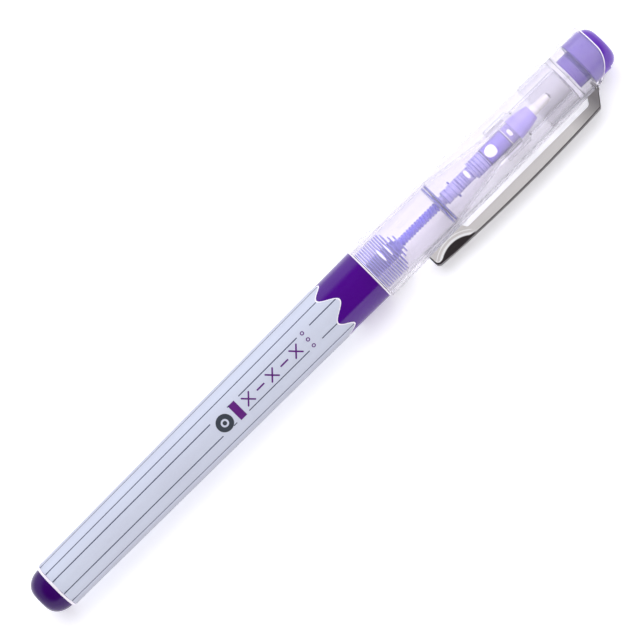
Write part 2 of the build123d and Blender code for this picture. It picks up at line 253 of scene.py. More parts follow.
# %% [markdown]
# Colours are written as the hex values a designer would use. Blender's shaders work in linear light,
# so one function turns a hex value into linear numbers. Pattern sizes are real millimetres, and one
# function turns such a size into a texture's scale, which counts repeats in a metre. One function adds
# a node. It gives the output that is asked for, so that a material reads from its patterns down to its
# shader. A mix of colours has its share at input 0, its colours at 6 and 7, and its result at output 2.

# %% Material helpers
MIX = {"out": 2, "data_type": "RGBA"}
TIMES = {"operation": "MULTIPLY"}
SMOOTH = {"interpolation_type": "SMOOTHSTEP"}


def hex_colour(text):
    """sRGB hex to linear RGBA: each channel is divided by 255, then the sRGB curve is undone."""
    channels = np.array([int(text[k : k + 2], 16) for k in (1, 3, 5)]) / 255
    linear = np.where(channels > 0.04045, ((channels + 0.055) / 1.055) ** 2.4, channels / 12.92)
    return (*map(float, linear), 1.0)


def per_mm(size):
    """The texture scale whose pattern repeats about once in this many millimetres."""
    return 1 / (size * MM)


def add_node(tree, kind, inputs, out=0, **settings):
    """Adds one node, sets its own settings, sets or links each of its inputs, and gives one output."""
    made = tree.nodes.new("ShaderNode" + kind)
    for key, value in settings.items():
        setattr(made, key, value)
    for key, value in inputs.items():
        if isinstance(value, bpy.types.NodeSocket):
            tree.links.new(value, made.inputs[key])
        else:
            made.inputs[key].default_value = value
    return made.outputs[out] if made.outputs else None


def new_material(name):
    """An empty material, its node tree and the piece's own coordinates."""
    material = bpy.data.materials.new(name)
    material.use_nodes = True
    tree = material.node_tree
    tree.nodes.clear()
    return material, tree, add_node(tree, "TexCoord", {}, "Object")


# %% [markdown]
# Some painted shade follows which way a surface faces in the pen's own frame: a tinted wall is painted
# darker at its flanks, and a fold of the clip painted darker than its side. The share comes from the
# piece's own normal, so it stays where it is on the piece when the piece moves.

# %% Shares that follow a direction
OWN_UP = (0.0, -math.sin(ROLL), math.cos(ROLL))
CLIPWARDS = (0.0, -math.cos(ROLL), -math.sin(ROLL))


def facing(tree, direction, limits, either_way=False):
    """A share that follows the cosine between the piece's surface and a direction: 0 at the first
    limit, 1 at the second. either_way counts a surface that faces away as one that faces it."""
    own_normal = add_node(tree, "TexCoord", {}, "Normal")
    cosine = add_node(tree, "VectorMath", {0: own_normal, 1: direction}, "Value", operation="DOT_PRODUCT")
    if either_way:
        cosine = add_node(tree, "Math", {0: cosine}, operation="ABSOLUTE")
    span_of_it = {"From Min": limits[0], "From Max": limits[1]}
    return add_node(tree, "MapRange", {"Value": cosine, **span_of_it}, **SMOOTH)


def upright(tree, limits):
    """A share that follows how level the surface lies in the pen's own frame, up or down alike."""
    return facing(tree, OWN_UP, limits, either_way=True)


print("the pen's own up:", [round(part, 3) for part in OWN_UP])

# %% [markdown]
# Most pieces here are injection moulded. A mould fills unevenly and its polish is never perfect, so
# the colour and the gloss drift slowly over a piece, and a fine grain lies on it. Two noises do both.

# %% Moulded plastic


def moulded(name, light, dark, roughness, cloud_mm=4.0, grain_mm=0.25, grain=0.03, edge=None, bare=None,
            **sockets):
    """Injection-moulded plastic. A soft cloud shifts the colour between two hex values and the
    roughness by a sixth, and a fine grain lifts the surface as the mould's polish leaves it. edge is a
    painted shade on the flanks: a tinted clear piece looks darker there, where light has more of it
    to cross. bare names a value that the mesh carries, and the tone where it is 1."""
    material, tree, place = new_material(name)
    cloud = add_node(tree, "TexNoise", {"Vector": place, "Scale": per_mm(cloud_mm), "Detail": 3.0})
    colour = add_node(tree, "Mix", {0: cloud, 6: hex_colour(light), 7: hex_colour(dark)}, **MIX)
    if edge:
        flank = upright(tree, (0.85, 0.35))
        colour = add_node(tree, "Mix", {0: flank, 6: colour, 7: hex_colour(edge)}, **MIX)
    if bare:
        share = add_node(tree, "Attribute", {}, "Fac", attribute_name=bare[0])
        colour = add_node(tree, "Mix", {0: share, 6: colour, 7: hex_colour(bare[1])}, **MIX)
    sixth = {"To Min": roughness * 0.85, "To Max": roughness * 1.15}
    gloss = add_node(tree, "MapRange", {"Value": cloud, **sixth})
    fine = add_node(tree, "TexNoise", {"Vector": place, "Scale": per_mm(grain_mm), "Detail": 2.0})
    bump = add_node(tree, "Bump", {"Height": fine, "Strength": grain, "Distance": 0.02 * MM})
    surface = {"Base Color": colour, "Roughness": gloss, "Normal": bump, **sockets}
    add_node(tree, "OutputMaterial", {"Surface": add_node(tree, "BsdfPrincipled", surface)})
    return material


print("purple in linear light:", [round(c, 3) for c in hex_colour("#4b0085")])

# %% [markdown]
# The tail plug, the barrel and the crown plug are polished polystyrene or ABS in the ink's own deep
# purple. Such plastic has an IOR near 1.5 and a roughness near 0.15, so it mirrors only a few
# hundredths of the light head on and much more at its edges, where the pale surroundings show. The
# crown plug has two tones: where it leaves the cap's rim its colour is deep, and under the cap it is
# painted paler, for the light that the milky wall scatters over it. The mesh carries the share that is bare.

# %% Purple plastics
BARE_PURPLE = ("bare_share", "#6230ae")
DULLED = {"Specular IOR Level": 0.25}
plug_purple = moulded("purple_abs_polished", "#3a0366", "#2f0156", 0.2, IOR=1.5, **DULLED)
# The crown's plain tone is painted paler, as light the milky cap scatters; the bare tone is its own deep
# purple.
crown_purple = moulded("crown_purple_painted_cap_light", "#6a52ac", "#5c449c", 0.16, bare=BARE_PURPLE, IOR=1.5)
barrel_purple = moulded("barrel_purple_abs_polished", "#52008e", "#44007a", 0.14, cloud_mm=6.0, IOR=1.5)
print("purple plastics:", plug_purple.name, crown_purple.name, barrel_purple.name)

# %% [markdown]
# Polystyrene is clear as glass, with an IOR of 1.59, while a polypropylene cap is milky: part of the
# light goes through and part is scattered. One Principled shader does both, because its transmission
# weight splits the light between glass and plain scattering at each surface. Lamps reach what is
# inside through a Light Path node, which lets shadow rays straight through, as a thin shell nearly does.
# The indices are set below the plastics' own 1.5 or so. Walls this thin, touching each other, hardly
# show their edges, and a full index would draw a dark line along each of them.

# %% Clear plastics


def clear_plastic(name, tint, flank, clear, roughness, shade, ripple_mm, ripple, index):
    """Clear plastic of this tint, and of the flank tint where the wall is seen edge on and light has
    more of it to cross. clear is the share of light that passes one surface unscattered, and shade is
    the share that lamps lose. A slow ripple is the flow of the moulding."""
    material, tree, place = new_material(name)
    flow = add_node(tree, "Mapping", {"Vector": place, "Scale": (0.35, 1.0, 1.0)})
    wave = add_node(tree, "TexNoise", {"Vector": flow, "Scale": per_mm(ripple_mm), "Detail": 1.5})
    bump = add_node(tree, "Bump", {"Height": wave, "Strength": ripple, "Distance": 0.1 * MM})
    third = {"To Min": roughness * 0.7, "To Max": roughness * 1.3}
    haze = add_node(tree, "MapRange", {"Value": wave, **third})
    slant = add_node(tree, "LayerWeight", {"Blend": 0.5}, "Facing")
    slanted = add_node(tree, "MapRange", {"Value": slant, "From Min": 0.45})
    colour = add_node(tree, "Mix", {0: slanted, 6: hex_colour(tint), 7: hex_colour(flank)}, **MIX)
    surface = {"Base Color": colour, "Roughness": haze, "Normal": bump}
    surface |= {"IOR": index, "Transmission Weight": clear}
    shader = add_node(tree, "BsdfPrincipled", surface)
    see_through = add_node(tree, "BsdfTransparent", {"Color": (1 - shade,) * 3 + (1.0,)})
    shadow = add_node(tree, "LightPath", {}, "Is Shadow Ray")
    choose = add_node(tree, "MixShader", {0: shadow, 1: shader, 2: see_through})
    add_node(tree, "OutputMaterial", {"Surface": choose})
    return material


clear_cap, clear_inner, clear_grip = (
    clear_plastic(*values)
    for values in (
        ("milky_polypropylene_cap", "#f4f2f6", "#e0dde6", 0.945, 0.06, 0.05, 7.0, 0.06, 1.32),
        ("clear_polyethylene_seal", "#f9f8fb", "#ecebf0", 0.98, 0.06, 0.03, 3.0, 0.08, 1.22),
        ("clear_polystyrene_grip", "#fcfaff", "#f0eef4", 0.98, 0.03, 0.03, 5.0, 0.05, 1.34),
    )
)
print("clear plastics:", clear_cap.name, clear_inner.name, clear_grip.name)

# %% [markdown]
# The feed's pieces are moulded in lilac to violet plastic and wetted by the ink. Their colours differ
# a little because each holds a different depth of ink. Four materials here are painted light: a white
# for painted highlights, a pale one for the highlight on cut edges, and two deeper violets for painted
# shade in grooves and at the sleeve's ends.

# %% Feed plastics
comb_lilac = moulded("comb_violet_abs_wet", "#6d5ee2", "#5a4bca", 0.25, cloud_mm=1.5, IOR=1.5)
holder_lilac = moulded("holder_lilac_polyacetal", "#a8a1de", "#978dd1", 0.3, cloud_mm=1.0, IOR=1.48)
# The sleeve's flanks are painted darker: shade for the longer path of light through its tinted wall.
sleeve_purple = moulded(
    "sleeve_purple_polystyrene", "#8068da", "#7059c8", 0.1, cloud_mm=1.5, edge="#4a3a80", IOR=1.59,
)
holder_dark = moulded("holder_violet_polyacetal", "#4840b6", "#3b33a2", 0.3, cloud_mm=1.0, IOR=1.48)
# Painted highlight: a white for the light that gathers in the clear parts.
highlight_paint = moulded("painted_highlight_white", "#ffffff", "#f8f6fd", 0.25, cloud_mm=0.6, IOR=1.48)
# Painted highlight: a pale tone for the light that cut edges catch.
edge_highlight_paint = moulded("cut_edge_painted_highlight", "#fffcff", "#f6f0fa", 0.55, cloud_mm=1.0, IOR=1.49)
# Painted shade: a deeper violet for the shade in narrow grooves.
groove_shade_paint = moulded("groove_painted_shade", "#6e64b8", "#6056ac", 0.3, cloud_mm=1.0, IOR=1.48)
# Painted shade: a deeper violet for the dark lines at the sleeve's ends.
sleeve_end_painted_shade = moulded("sleeve_end_painted_shade", "#54478c", "#463a7c", 0.2, cloud_mm=1.0, IOR=1.5)
ring_violet = moulded("ring_violet_polyacetal", "#9c8cd8", "#8473c8", 0.22, cloud_mm=1.0, IOR=1.48)
nose_lavender = moulded("nose_lavender_polyacetal", "#b2a3ee", "#a092e3", 0.3, cloud_mm=1.2, IOR=1.48)
feed_fibre = moulded("feed_fibre_inked", "#2e0a6e", "#1c0048", 0.7, cloud_mm=0.4, grain_mm=0.08, grain=0.5)
ink = moulded("ink_purple_liquid", "#3a0078", "#2c0060", 0.05, cloud_mm=8.0, IOR=1.34)
print("materials so far:", len(bpy.data.materials))

# %% [markdown]
# The clip is stainless strip, pressed to a channel and brushed along its length. Brushing leaves fine
# grooves a few hundredths of a millimetre apart, so a noise stretched along the pen drives roughness
# and bump. Light and shade are painted over the steel: a painted highlight on the first slope of the
# toe's scoops, painted near-black shade on the folds and the scoops, a painted middle grey on the outer
# face for the dark it mirrors, painted white on the inner side for the pale cap it mirrors, and painted
# shade on the end by the root. The tones follow the piece's own directions, so they turn with the clip.

# %% Metals
SHADE_START, SHADE_END = (TAIL + (span("pocket_clip")[1] - away) * MM for away in (8.5, 2.0))
TOE_START, TOE_END = (TAIL + (span("pocket_clip")[0] + reached) * MM for reached in (8.6, 9.4))
# Every tone in this table is painted light or shade laid over the steel.
CLIP_TONES = {
    "shaded": "#767375",
    "painted_glint": "#ffffff",
    "dark": "#332e30",
    "face_painted_dark": "#6c696b",
    "inside": "#ffffff",
}


def clip_tone(tree, place, tone):
    """The clip's painted light and shade laid over the plain tone, in the order of their table: shade on
    the end by the root, which lies in the crown's shade, a highlight on the scoop's rim, near-black shade
    on the folds and scoops, a grey on the face for the dark it mirrors, and white on the inner side for
    the pale cap it mirrors. Gives the tone and the share of the painted dark."""
    along = add_node(tree, "SeparateXYZ", {0: place})
    root_limits = {"From Min": SHADE_START, "From Max": SHADE_END, "To Max": 0.9}
    toe_limits = {"From Min": TOE_START, "From Max": TOE_END, "To Min": 1.0, "To Max": 0.0}
    toe = add_node(tree, "MapRange", {"Value": along, **toe_limits})
    pressed = add_node(tree, "Math", {0: upright(tree, (0.98, 0.95)), 1: toe}, **TIMES)
    folded = add_node(tree, "Math", {0: pressed, 1: upright(tree, (0.85, 0.65))}, operation="MAXIMUM")
    outer = facing(tree, CLIPWARDS, (-0.55, -0.25))
    dark = add_node(tree, "Math", {0: folded, 1: outer}, **TIMES)
    shares = {
        "shaded": add_node(tree, "MapRange", {"Value": along, **root_limits}),
        "painted_glint": add_node(tree, "Math", {0: upright(tree, (0.9993, 0.996)), 1: toe}, **TIMES),
        "dark": dark,
        "face_painted_dark": add_node(tree, "Math", {0: upright(tree, (0.25, 0.08)), 1: dark}, **TIMES),
        "inside": add_node(tree, "Attribute", {}, "Fac", attribute_name="inside"),
    }
    for part, colour in CLIP_TONES.items():
        tone = add_node(tree, "Mix", {0: shares[part], 6: tone, 7: hex_colour(colour)}, **MIX)
    return tone, dark


def brushed_steel(name, light, dark, roughness, groove_mm, metallic, folded=False):
    """Brushed steel: noise stretched 60 times along the pen gives the grooves, and two hex values the
    tone between them. Less than full metallic stands for grooves that scatter the light instead of
    mirroring it. folded lays the clip's painted light and shade over that, and where it paints dark the
    metal hardly mirrors."""
    material, tree, place = new_material(name)
    stretch = add_node(tree, "Mapping", {"Vector": place, "Scale": (1 / 60, 1.0, 1.0)})
    grain = {"Scale": per_mm(groove_mm), "Detail": 4.0, "Roughness": 0.6}
    groove = add_node(tree, "TexNoise", {"Vector": stretch, **grain})
    tone = add_node(tree, "Mix", {0: groove, 6: hex_colour(light), 7: hex_colour(dark)}, **MIX)
    mirrors = {"Metallic": metallic}
    if folded:
        tone, painted_dark_share = clip_tone(tree, place, tone)
        for socket, most in (("Metallic", metallic), ("Specular IOR Level", 0.5)):
            mirrors[socket] = add_node(tree, "MapRange", {"Value": painted_dark_share, "To Min": most, "To Max": 0.1})
    matt = {"To Min": roughness * 0.8, "To Max": roughness * 1.25}
    rough = add_node(tree, "MapRange", {"Value": groove, **matt})
    bump = add_node(tree, "Bump", {"Height": groove, "Strength": 0.25, "Distance": 0.02 * MM})
    surface = {"Base Color": tone, "Roughness": rough, "Normal": bump, **mirrors}
    add_node(tree, "OutputMaterial", {"Surface": add_node(tree, "BsdfPrincipled", surface)})
    return material


clip_steel = brushed_steel("stainless_brushed", "#e2dfdd", "#d3cfcd", 0.4, 0.12, 0.25, folded=True)
tip_metal = brushed_steel("nickel_silver_satin", "#f4f3f0", "#e6e4e0", 0.35, 0.1, 0.15)
ball_metal = brushed_steel("ball_carbide_ground", "#c4c4c8", "#a8a8ae", 0.15, 0.1, 0.5)
print("metals:", clip_steel.name, tip_metal.name, ball_metal.name)

# %% [markdown]
# The barrel is a slightly tapered tube, turned from a profile of its wall. Inside, its bore steps out
# at the front to a socket for the grip section.

# %% Barrel
BARREL_START, BARREL_END = span("barrel")
BARREL_TAIL_RADIUS = 4.63
BARREL_FRONT_RADIUS = reach("barrel")
TAIL_EDGE = 0.5
DOME_FLAT, DOME_RADIUS = 1.6, 4.35
TANK_BORE = 3.78
SOCKET_BORE = 4.83
GRIP_START, GRIP_END = span("grip_section")
PLUG_END = span("rear_plug")[1]
PLUG_BORE, PLUG_FLOOR, PLUG_RADIUS = 2.4, BARREL_START + 1.4, TANK_BORE - 0.03


def barrel_radius(along):
    """The barrel's outer radius: a straight taper from the tail edge to the front."""
    share = (along - BARREL_START) / (BARREL_END - BARREL_START)
    return BARREL_TAIL_RADIUS + share * (BARREL_FRONT_RADIUS - BARREL_TAIL_RADIUS)


turned_piece(
    "barrel_tube",
    [
        (BARREL_START, DOME_RADIUS, 0.05),
        (BARREL_START + TAIL_EDGE, float(barrel_radius(BARREL_START + TAIL_EDGE)), 0.1),
        (BARREL_END, BARREL_FRONT_RADIUS, 0.06), (BARREL_END, SOCKET_BORE, 0.05),
        (GRIP_START, SOCKET_BORE, 0), (GRIP_START, TANK_BORE, 0.05), (BARREL_START, TANK_BORE, 0.05),
    ],
    "pen", ["barrel"], barrel_purple,
)

# %% [markdown]
# A domed plug with a hollow spigot closes the barrel's tail. The dome is a quarter ellipse drawn
# through a few dozen points of its formula, so no facets show.

# %% Tail plug
dome_angle = np.linspace(0, math.pi / 2, 24)
dome = [
    (BARREL_START * (1 - math.sin(a)), DOME_FLAT + (DOME_RADIUS - DOME_FLAT) * math.cos(a), 0)
    for a in dome_angle[::-1]
]
turned_piece(
    "tail_plug",
    [(0, 0, 0), (0, DOME_FLAT * 0.5, 0)]
    + dome
    + [
        (BARREL_START, PLUG_RADIUS, 0), (PLUG_END, PLUG_RADIUS, 0.2), (PLUG_END, PLUG_BORE, 0.1),
        (PLUG_FLOOR, PLUG_BORE, 0.2), (PLUG_FLOOR, 0, 0),
    ],
    "pen", ["rear_plug"], plug_purple,
)

# %% [markdown]
# The print is a thin film round the barrel. Its front edge has six waves, so each line of the film
# from tail to front ends at its own place: the film is a function of the share of the way along and
# of the turn. The front edge stays unprinted white for a quarter of a millimetre, and so does a band
# at the tail. The mesh carries each point's distance from the edge as an attribute for the material.

# %% Printed film
FILM_START, FILM_END = span("barrel_wrap")
FILM_THICK = 0.08
WAVES = 3
WAVE_DEPTH, SHORT_CREST = 2.6, 1.0
WAVE_MARGIN, TAIL_MARGIN = 0.28, 0.55
FILM_COLUMNS = 240


def film_edge(turn):
    """The film's front edge: a cosine of six bites, less a cosine that shortens every other crest."""
    bite = WAVE_DEPTH * (1 - np.cos(2 * WAVES * turn)) / 2
    return FILM_END - bite - SHORT_CREST * (1 - np.cos(WAVES * turn)) / 2


def film_shell():
    """Rows run outside from tail to front, over the edge, and back inside. The outside follows the
    barrel's radius plus the film, starting on the tail's small slope."""
    turn = np.arange(FILM_COLUMNS) * FULL_TURN / FILM_COLUMNS
    share = np.r_[0, np.linspace(0.004, 0.93, 50), np.linspace(0.935, 1, 26)][:, None]
    along = FILM_START + share * (film_edge(turn)[None, :] - FILM_START)
    slope = (barrel_radius(BARREL_START + TAIL_EDGE) - DOME_RADIUS) / TAIL_EDGE
    under = np.minimum(barrel_radius(along), DOME_RADIUS + slope * (along - BARREL_START))
    rim_round = 1 - 0.35 * (share > 0.9995)
    outside = on_turn(along, under + FILM_THICK * rim_round, turn[None, :])
    inside = on_turn(along, under + 0.001, turn[None, :])[::-1]
    points = np.concatenate([outside, inside])
    edge = np.concatenate([film_edge(turn)[None, :] - along] * 2)
    edge[len(share):] = edge[len(share):][::-1]
    return points, along, edge


film_points, film_along, film_distance = film_shell()
film = make_mesh("printed_film", [(film_points, [grid_faces(*film_points.shape[:2])])], 50)
carry(film, "front_distance", film_distance)
carry(film, "tail_distance", np.concatenate([film_along, film_along[::-1]]) - FILM_START)

# %% [markdown]
# The print covers the film but for its margins. Each layer of tone is laid over the one before by its
# own share: the dots, the flank's shade, and the bare margins at the front edge and the tail.

# %% The film's material


def printed_film():
    """Gloss film printed pale lavender-blue. Slow clouds shift the tone, a fine dot screen of the
    printing gives the grain, and the margins by the edges stay white."""
    material, tree, place = new_material("printed_polypropylene_film")
    cloud = add_node(tree, "TexNoise", {"Vector": place, "Scale": per_mm(14.0), "Detail": 3.0})
    screen = add_node(tree, "TexVoronoi", {"Vector": place, "Scale": per_mm(0.3)})
    dots = add_node(tree, "MapRange", {"Value": screen, "To Min": 0.0, "To Max": 0.16})
    tone = add_node(tree, "Mix", {0: cloud, 6: hex_colour("#d4dbea"), 7: hex_colour("#cacede")}, **MIX)
    layers = [(dots, "#dee3ef"), (upright(tree, (0.85, 0.1)), "#b9bbc8")]
    for name, width in (("front_distance", WAVE_MARGIN), ("tail_distance", TAIL_MARGIN)):
        away = add_node(tree, "Attribute", {}, "Fac", attribute_name=name)
        fade = {"From Min": width * 0.8, "From Max": width, "To Min": 1.0, "To Max": 0.0}
        layers.append((add_node(tree, "MapRange", {"Value": away, **fade}), "#fbf6fd"))
    for share, colour in layers:
        tone = add_node(tree, "Mix", {0: share, 6: tone, 7: hex_colour(colour)}, **MIX)
    gloss = add_node(tree, "MapRange", {"Value": cloud, "To Min": 0.36, "To Max": 0.5})
    bump = add_node(tree, "Bump", {"Height": screen, "Strength": 0.05, "Distance": 0.01 * MM})
    surface = {"Base Color": tone, "Roughness": gloss, "Normal": bump, "IOR": 1.3, **DULLED}
    add_node(tree, "OutputMaterial", {"Surface": add_node(tree, "BsdfPrincipled", surface)})
    return material


finish_piece(film, "pen", ["barrel_wrap"], printed_film())

# %% [markdown]
# Ink on film stands up by a hundredth of a millimetre. Lines and marks are thin closed ribbons that
# follow the film's surface, so they stay crisp at any size of picture. A ribbon is a function of the
# way along its path and of the way across it, with a rounded end where its width closes as a circle
# does. The marks are plain stitches, dots, a bar and a disc, and spell nothing.

# %% Printed lines and marks
INK_LIFT, INK_SINK = 0.012, -0.01


def film_point(along, around, lift):
    """A point on the film, this far along and at this turn, lifted off the film's outside."""
    return on_turn(along, barrel_radius(along) + FILM_THICK + lift, around)


def ribbon(path, width, round_ends=True, steps=24):
    """A closed thin ribbon along a path of (along, around in mm) points. The width closes at the
    ends with the square root of a circle. Around is turned to an angle by the local radius."""
    path = np.array(path, float)
    lengths = np.r_[0, np.cumsum(np.hypot(*np.diff(path, axis=0).T))]
    end = width / 2 / lengths[-1] if round_ends else 0
    way = (1 - np.cos(np.linspace(0, math.pi, steps))) / 2
    at = way * lengths[-1]
    middle = np.stack([np.interp(at, lengths, path[:, k]) for k in (0, 1)], axis=-1)
    heading = np.gradient(middle, axis=0) + 1e-12
    heading /= np.hypot(heading[:, 0], heading[:, 1])[:, None]
    side = np.stack([-heading[:, 1], heading[:, 0]], axis=-1)
    half = np.full(steps, width / 2)
    if round_ends:
        near = np.clip(np.minimum(way, 1 - way) / end, 0, 1)
        half = width / 2 * np.sqrt(np.clip(1 - (1 - near) ** 2, 0.01, 1))
    across = np.linspace(-1, 1, 5)[:, None, None]
    flat = middle[None] + across * half[None, :, None] * side[None]
    turn = flat[..., 1] / (barrel_radius(flat[..., 0]) + FILM_THICK)
    top = film_point(flat[..., 0], turn, INK_LIFT)
    under = film_point(flat[..., 0], turn, INK_SINK)[::-1]
    points = np.concatenate([top, under])
    faces = grid_faces(10, steps, wrap_columns=False)
    rows = np.arange(4)
    caps = [
        np.stack([rows, rows + 1, 8 - rows, 9 - rows], axis=-1)[:, ::order] * steps + column
        for order, column in ((1, 0), (-1, steps - 1))
    ]
    return points, [faces] + caps


def disc(along, around, inner, outer, steps=36):
    """A flat ring lying on the film: circles of four radii, and the same below them. With no inner
    radius it is a disc, whose hole is too small to see."""
    turn = np.arange(steps) * FULL_TURN / steps
    radii = np.linspace(max(inner, 0.02), outer, 4)[:, None]
    flat_along = along + radii * np.cos(turn)
    flat_around = (around + radii * np.sin(turn)) / (barrel_radius(along) + FILM_THICK)
    top = film_point(flat_along, flat_around, INK_LIFT)
    under = film_point(flat_along, flat_around, INK_SINK)[::-1]
    points = np.concatenate([top, under])
    return points, [grid_faces(8, steps)]


print("ink stands up by, in millimetres:", INK_LIFT)

# %% [markdown]
# The pin lines run along the film every thirty degrees, from the tail to just short of the waves. The
# top one lies six degrees aside to leave room for the marks, and two of them break off beside these.

# %% Pin lines
PIN_WIDTH = 0.18
PIN_TURNS = [30, 60, 90, 120, 150, 180, 210, 240, 270, 300, 330, -6]
LABEL_GAPS = {
    -6: [(43.4, 47.6), (48.2, 50.4), (64.9, 68.0)],
    30: [(43.6, 46.2), (47.0, 50.0), (64.9, 68.0)],
}
pin_shells = []
for degrees in PIN_TURNS:
    turn = math.radians(degrees)
    stop = float(film_edge(turn)) - WAVE_MARGIN
    ends = [FILM_START + 0.6] + [x for gap in LABEL_GAPS.get(degrees, []) for x in gap] + [stop]
    for start, end in zip(ends[::2], ends[1::2]):
        places = np.linspace(start, end, 24)
        line = np.stack([places, turn * (barrel_radius(places) + FILM_THICK)], axis=-1)
        pin_shells.append(ribbon(line, PIN_WIDTH, round_ends=False, steps=40))
pin_blue = moulded("printed_ink_slate", "#434a66", "#353c56", 0.4, cloud_mm=2.0)
finish_piece(make_mesh("printed_pin_lines", pin_shells), "pen", [], pin_blue)

# %% [markdown]
# The marks along one line are plain stitches, three small rings, a bar and a ring with a dot.

# %% Stitches and badge
# Each stitch is a short stroke: start and end as (along, around), in millimetres. Around is counted
# from the marks' middle line, which lies LABEL_MIDDLE millimetres round from the top, on the clip's side.
LABEL_MIDDLE = 1.15
STITCHES = [
    [(50.4, -1.1), (52.3, 0.9)], [(50.4, 0.9), (52.3, -1.1)],
    [(53.4, -0.1), (55.3, -0.1)],
    [(56.3, -1.1), (58.2, 0.9)], [(56.3, 0.9), (58.2, -1.1)],
    [(59.3, -0.1), (61.2, -0.1)],
    [(62.2, -1.1), (64.1, 0.9)], [(62.2, 0.9), (64.1, -1.1)],
]
stitch_shells = [ribbon([(x, y + LABEL_MIDDLE) for x, y in stitch], 0.3) for stitch in STITCHES]
stitch_shells += [disc(66.1, LABEL_MIDDLE + y, 0.2, 0.38) for y in (-1.6, -0.1, 1.4)]
stitch_shells += [ribbon([(48.55, LABEL_MIDDLE - 1.75), (48.55, LABEL_MIDDLE + 1.75)], 1.45, False)]
mark_purple = moulded("printed_ink_purple", "#6a1f86", "#560f6e", 0.35, cloud_mm=1.0)
finish_piece(make_mesh("printed_stitches", stitch_shells), "pen", [], mark_purple)
badge_shells = [disc(45.4, LABEL_MIDDLE, 0.75, 1.65), disc(45.4, LABEL_MIDDLE, 0, 0.4)]
badge_grey = moulded("printed_ink_charcoal", "#414852", "#343a44", 0.35, cloud_mm=1.0)
finish_piece(make_mesh("printed_badge", badge_shells), "pen", [], badge_grey)

# %% [markdown]
# The grip section is a clear moulding: a spigot inside the barrel, a shoulder that the cap stops
# against, a straight grip, a cone and a narrow nose. It is one turned wall, and the collector and
# the tip holder show through it.

# %% Grip section
SHOULDER = BARREL_END + 0.3
NOSE_START, TAPER_START = GRIP_END - 5.6, GRIP_END - 17.6
WAIST = TAPER_START + 7.6
FLANGE_START = span("tip_holder")[0]
FLANGE_END = FLANGE_START + 0.9
NOSE_BORE, NOSE_RADIUS = 1.95, 2.95
SPIGOT_RADIUS, SHOULDER_CUT, GRIP_BORE = 4.8, 5.0, 4.3
FLANGE_STOP = FLANGE_END + 0.03
# A thin pale ring at the shoulder is a painted highlight where its cut edge catches the light.
turned_piece(
    "grip_shoulder_painted_highlight",
    [
        (BARREL_END, SHOULDER_CUT, 0), (BARREL_END, BARREL_FRONT_RADIUS, 0.06),
        (SHOULDER, BARREL_FRONT_RADIUS, 0.06), (SHOULDER, SHOULDER_CUT, 0),
    ],
    "pen", [], edge_highlight_paint,
)
turned_piece(
    "grip_tube",
    [
        (GRIP_START, SPIGOT_RADIUS, 0.1), (BARREL_END, SPIGOT_RADIUS, 0), (BARREL_END, SHOULDER_CUT, 0),
        (SHOULDER, SHOULDER_CUT, 0), (SHOULDER, SPIGOT_RADIUS, 0.05), (TAPER_START, 4.65, 1.5),
        (WAIST, 3.5, 4.0), (NOSE_START, NOSE_RADIUS, 1.5), (GRIP_END, NOSE_RADIUS, 0.25),
        (GRIP_END, NOSE_BORE, 0.1), (NOSE_START, NOSE_BORE, 0.8), (WAIST, 3.0, 4.0),
        (FLANGE_STOP, 4.05, 0.1), (FLANGE_STOP, GRIP_BORE, 0), (GRIP_START, GRIP_BORE, 0.1),
    ],
    "pen", ["grip_section"], clear_grip,
)

# %% [markdown]
# The ink collector is a comb of thin fins that holds spare ink between them when the air in the tank
# warms and swells. Its profile is worked out by one loop of corners: full fins, then three stepped
# ones. One slot along it, on the side away from the clip's view, lets air back in, and there every
# radius is cut down to the slot's floor. The stem in front is a fine two-start thread. The real fins
# are finer still: these are as coarse as they need to be to show. Two painted highlights sit between them.

# %% Ink collector
COMB_START, COMB_END = span("ink_collector")
FIN_RADIUS = reach("ink_collector")
FIN_PITCH, FIN_THICK, COMB_CORE, STEM_RADIUS, ROD_BORE = 0.5, 0.22, 1.6, 0.95, 0.62
STEPPED_FINS = [(3.6, 0.55), (2.4, 0.75), (1.9, 0.75)]
STEM_START, PLATE_END = COMB_END - 8.8, COMB_START + 1.2
SLOT_TURN, SLOT_HALF_TURN, SLOT_FLOOR = math.pi, 0.08, 1.3
COMB_COLUMNS = 120
comb = [(COMB_START, ROD_BORE, 0), (COMB_START, FIN_RADIUS, 0.06), (PLATE_END, FIN_RADIUS, 0.06)]
place = PLATE_END
fins = int((STEM_START - sum(pitch for radius, pitch in STEPPED_FINS) - place) / FIN_PITCH)
for radius, pitch in [(FIN_RADIUS, FIN_PITCH)] * fins + STEPPED_FINS:
    core = min(COMB_CORE, radius - 0.9)
    comb += [(place, core, 0), (place + pitch - FIN_THICK, core, 0)]
    comb += [(place + pitch - FIN_THICK, radius, 0.05), (place + pitch, radius, 0.05)]
    place += pitch
THREAD_LEAD, THREAD_DEPTH, THREAD_STARTS, THREAD_ROW = 1.3, 0.3, 2, 0.07
comb += [(place, STEM_RADIUS - THREAD_DEPTH, 0), (place, ROD_BORE, 0)]
comb_points, comb_faces = turned_shell(rounded(comb, True), COMB_COLUMNS)
comb_turn = np.arange(COMB_COLUMNS) * FULL_TURN / COMB_COLUMNS
slotted = (comb_points[..., 0] < STEM_START) & (comb_points[..., 0] > PLATE_END)
slotted &= np.abs(comb_turn - SLOT_TURN) < SLOT_HALF_TURN
radius_now = np.hypot(comb_points[..., 1], comb_points[..., 2])
comb_points[..., 1:] *= np.where(slotted, np.minimum(1, SLOT_FLOOR / radius_now), 1)[..., None]
print("full fins:", fins)

# %% [markdown]
# The stem in front of the comb carries a fine two-start thread, which draws ink along itself.

# %% The collector's stem


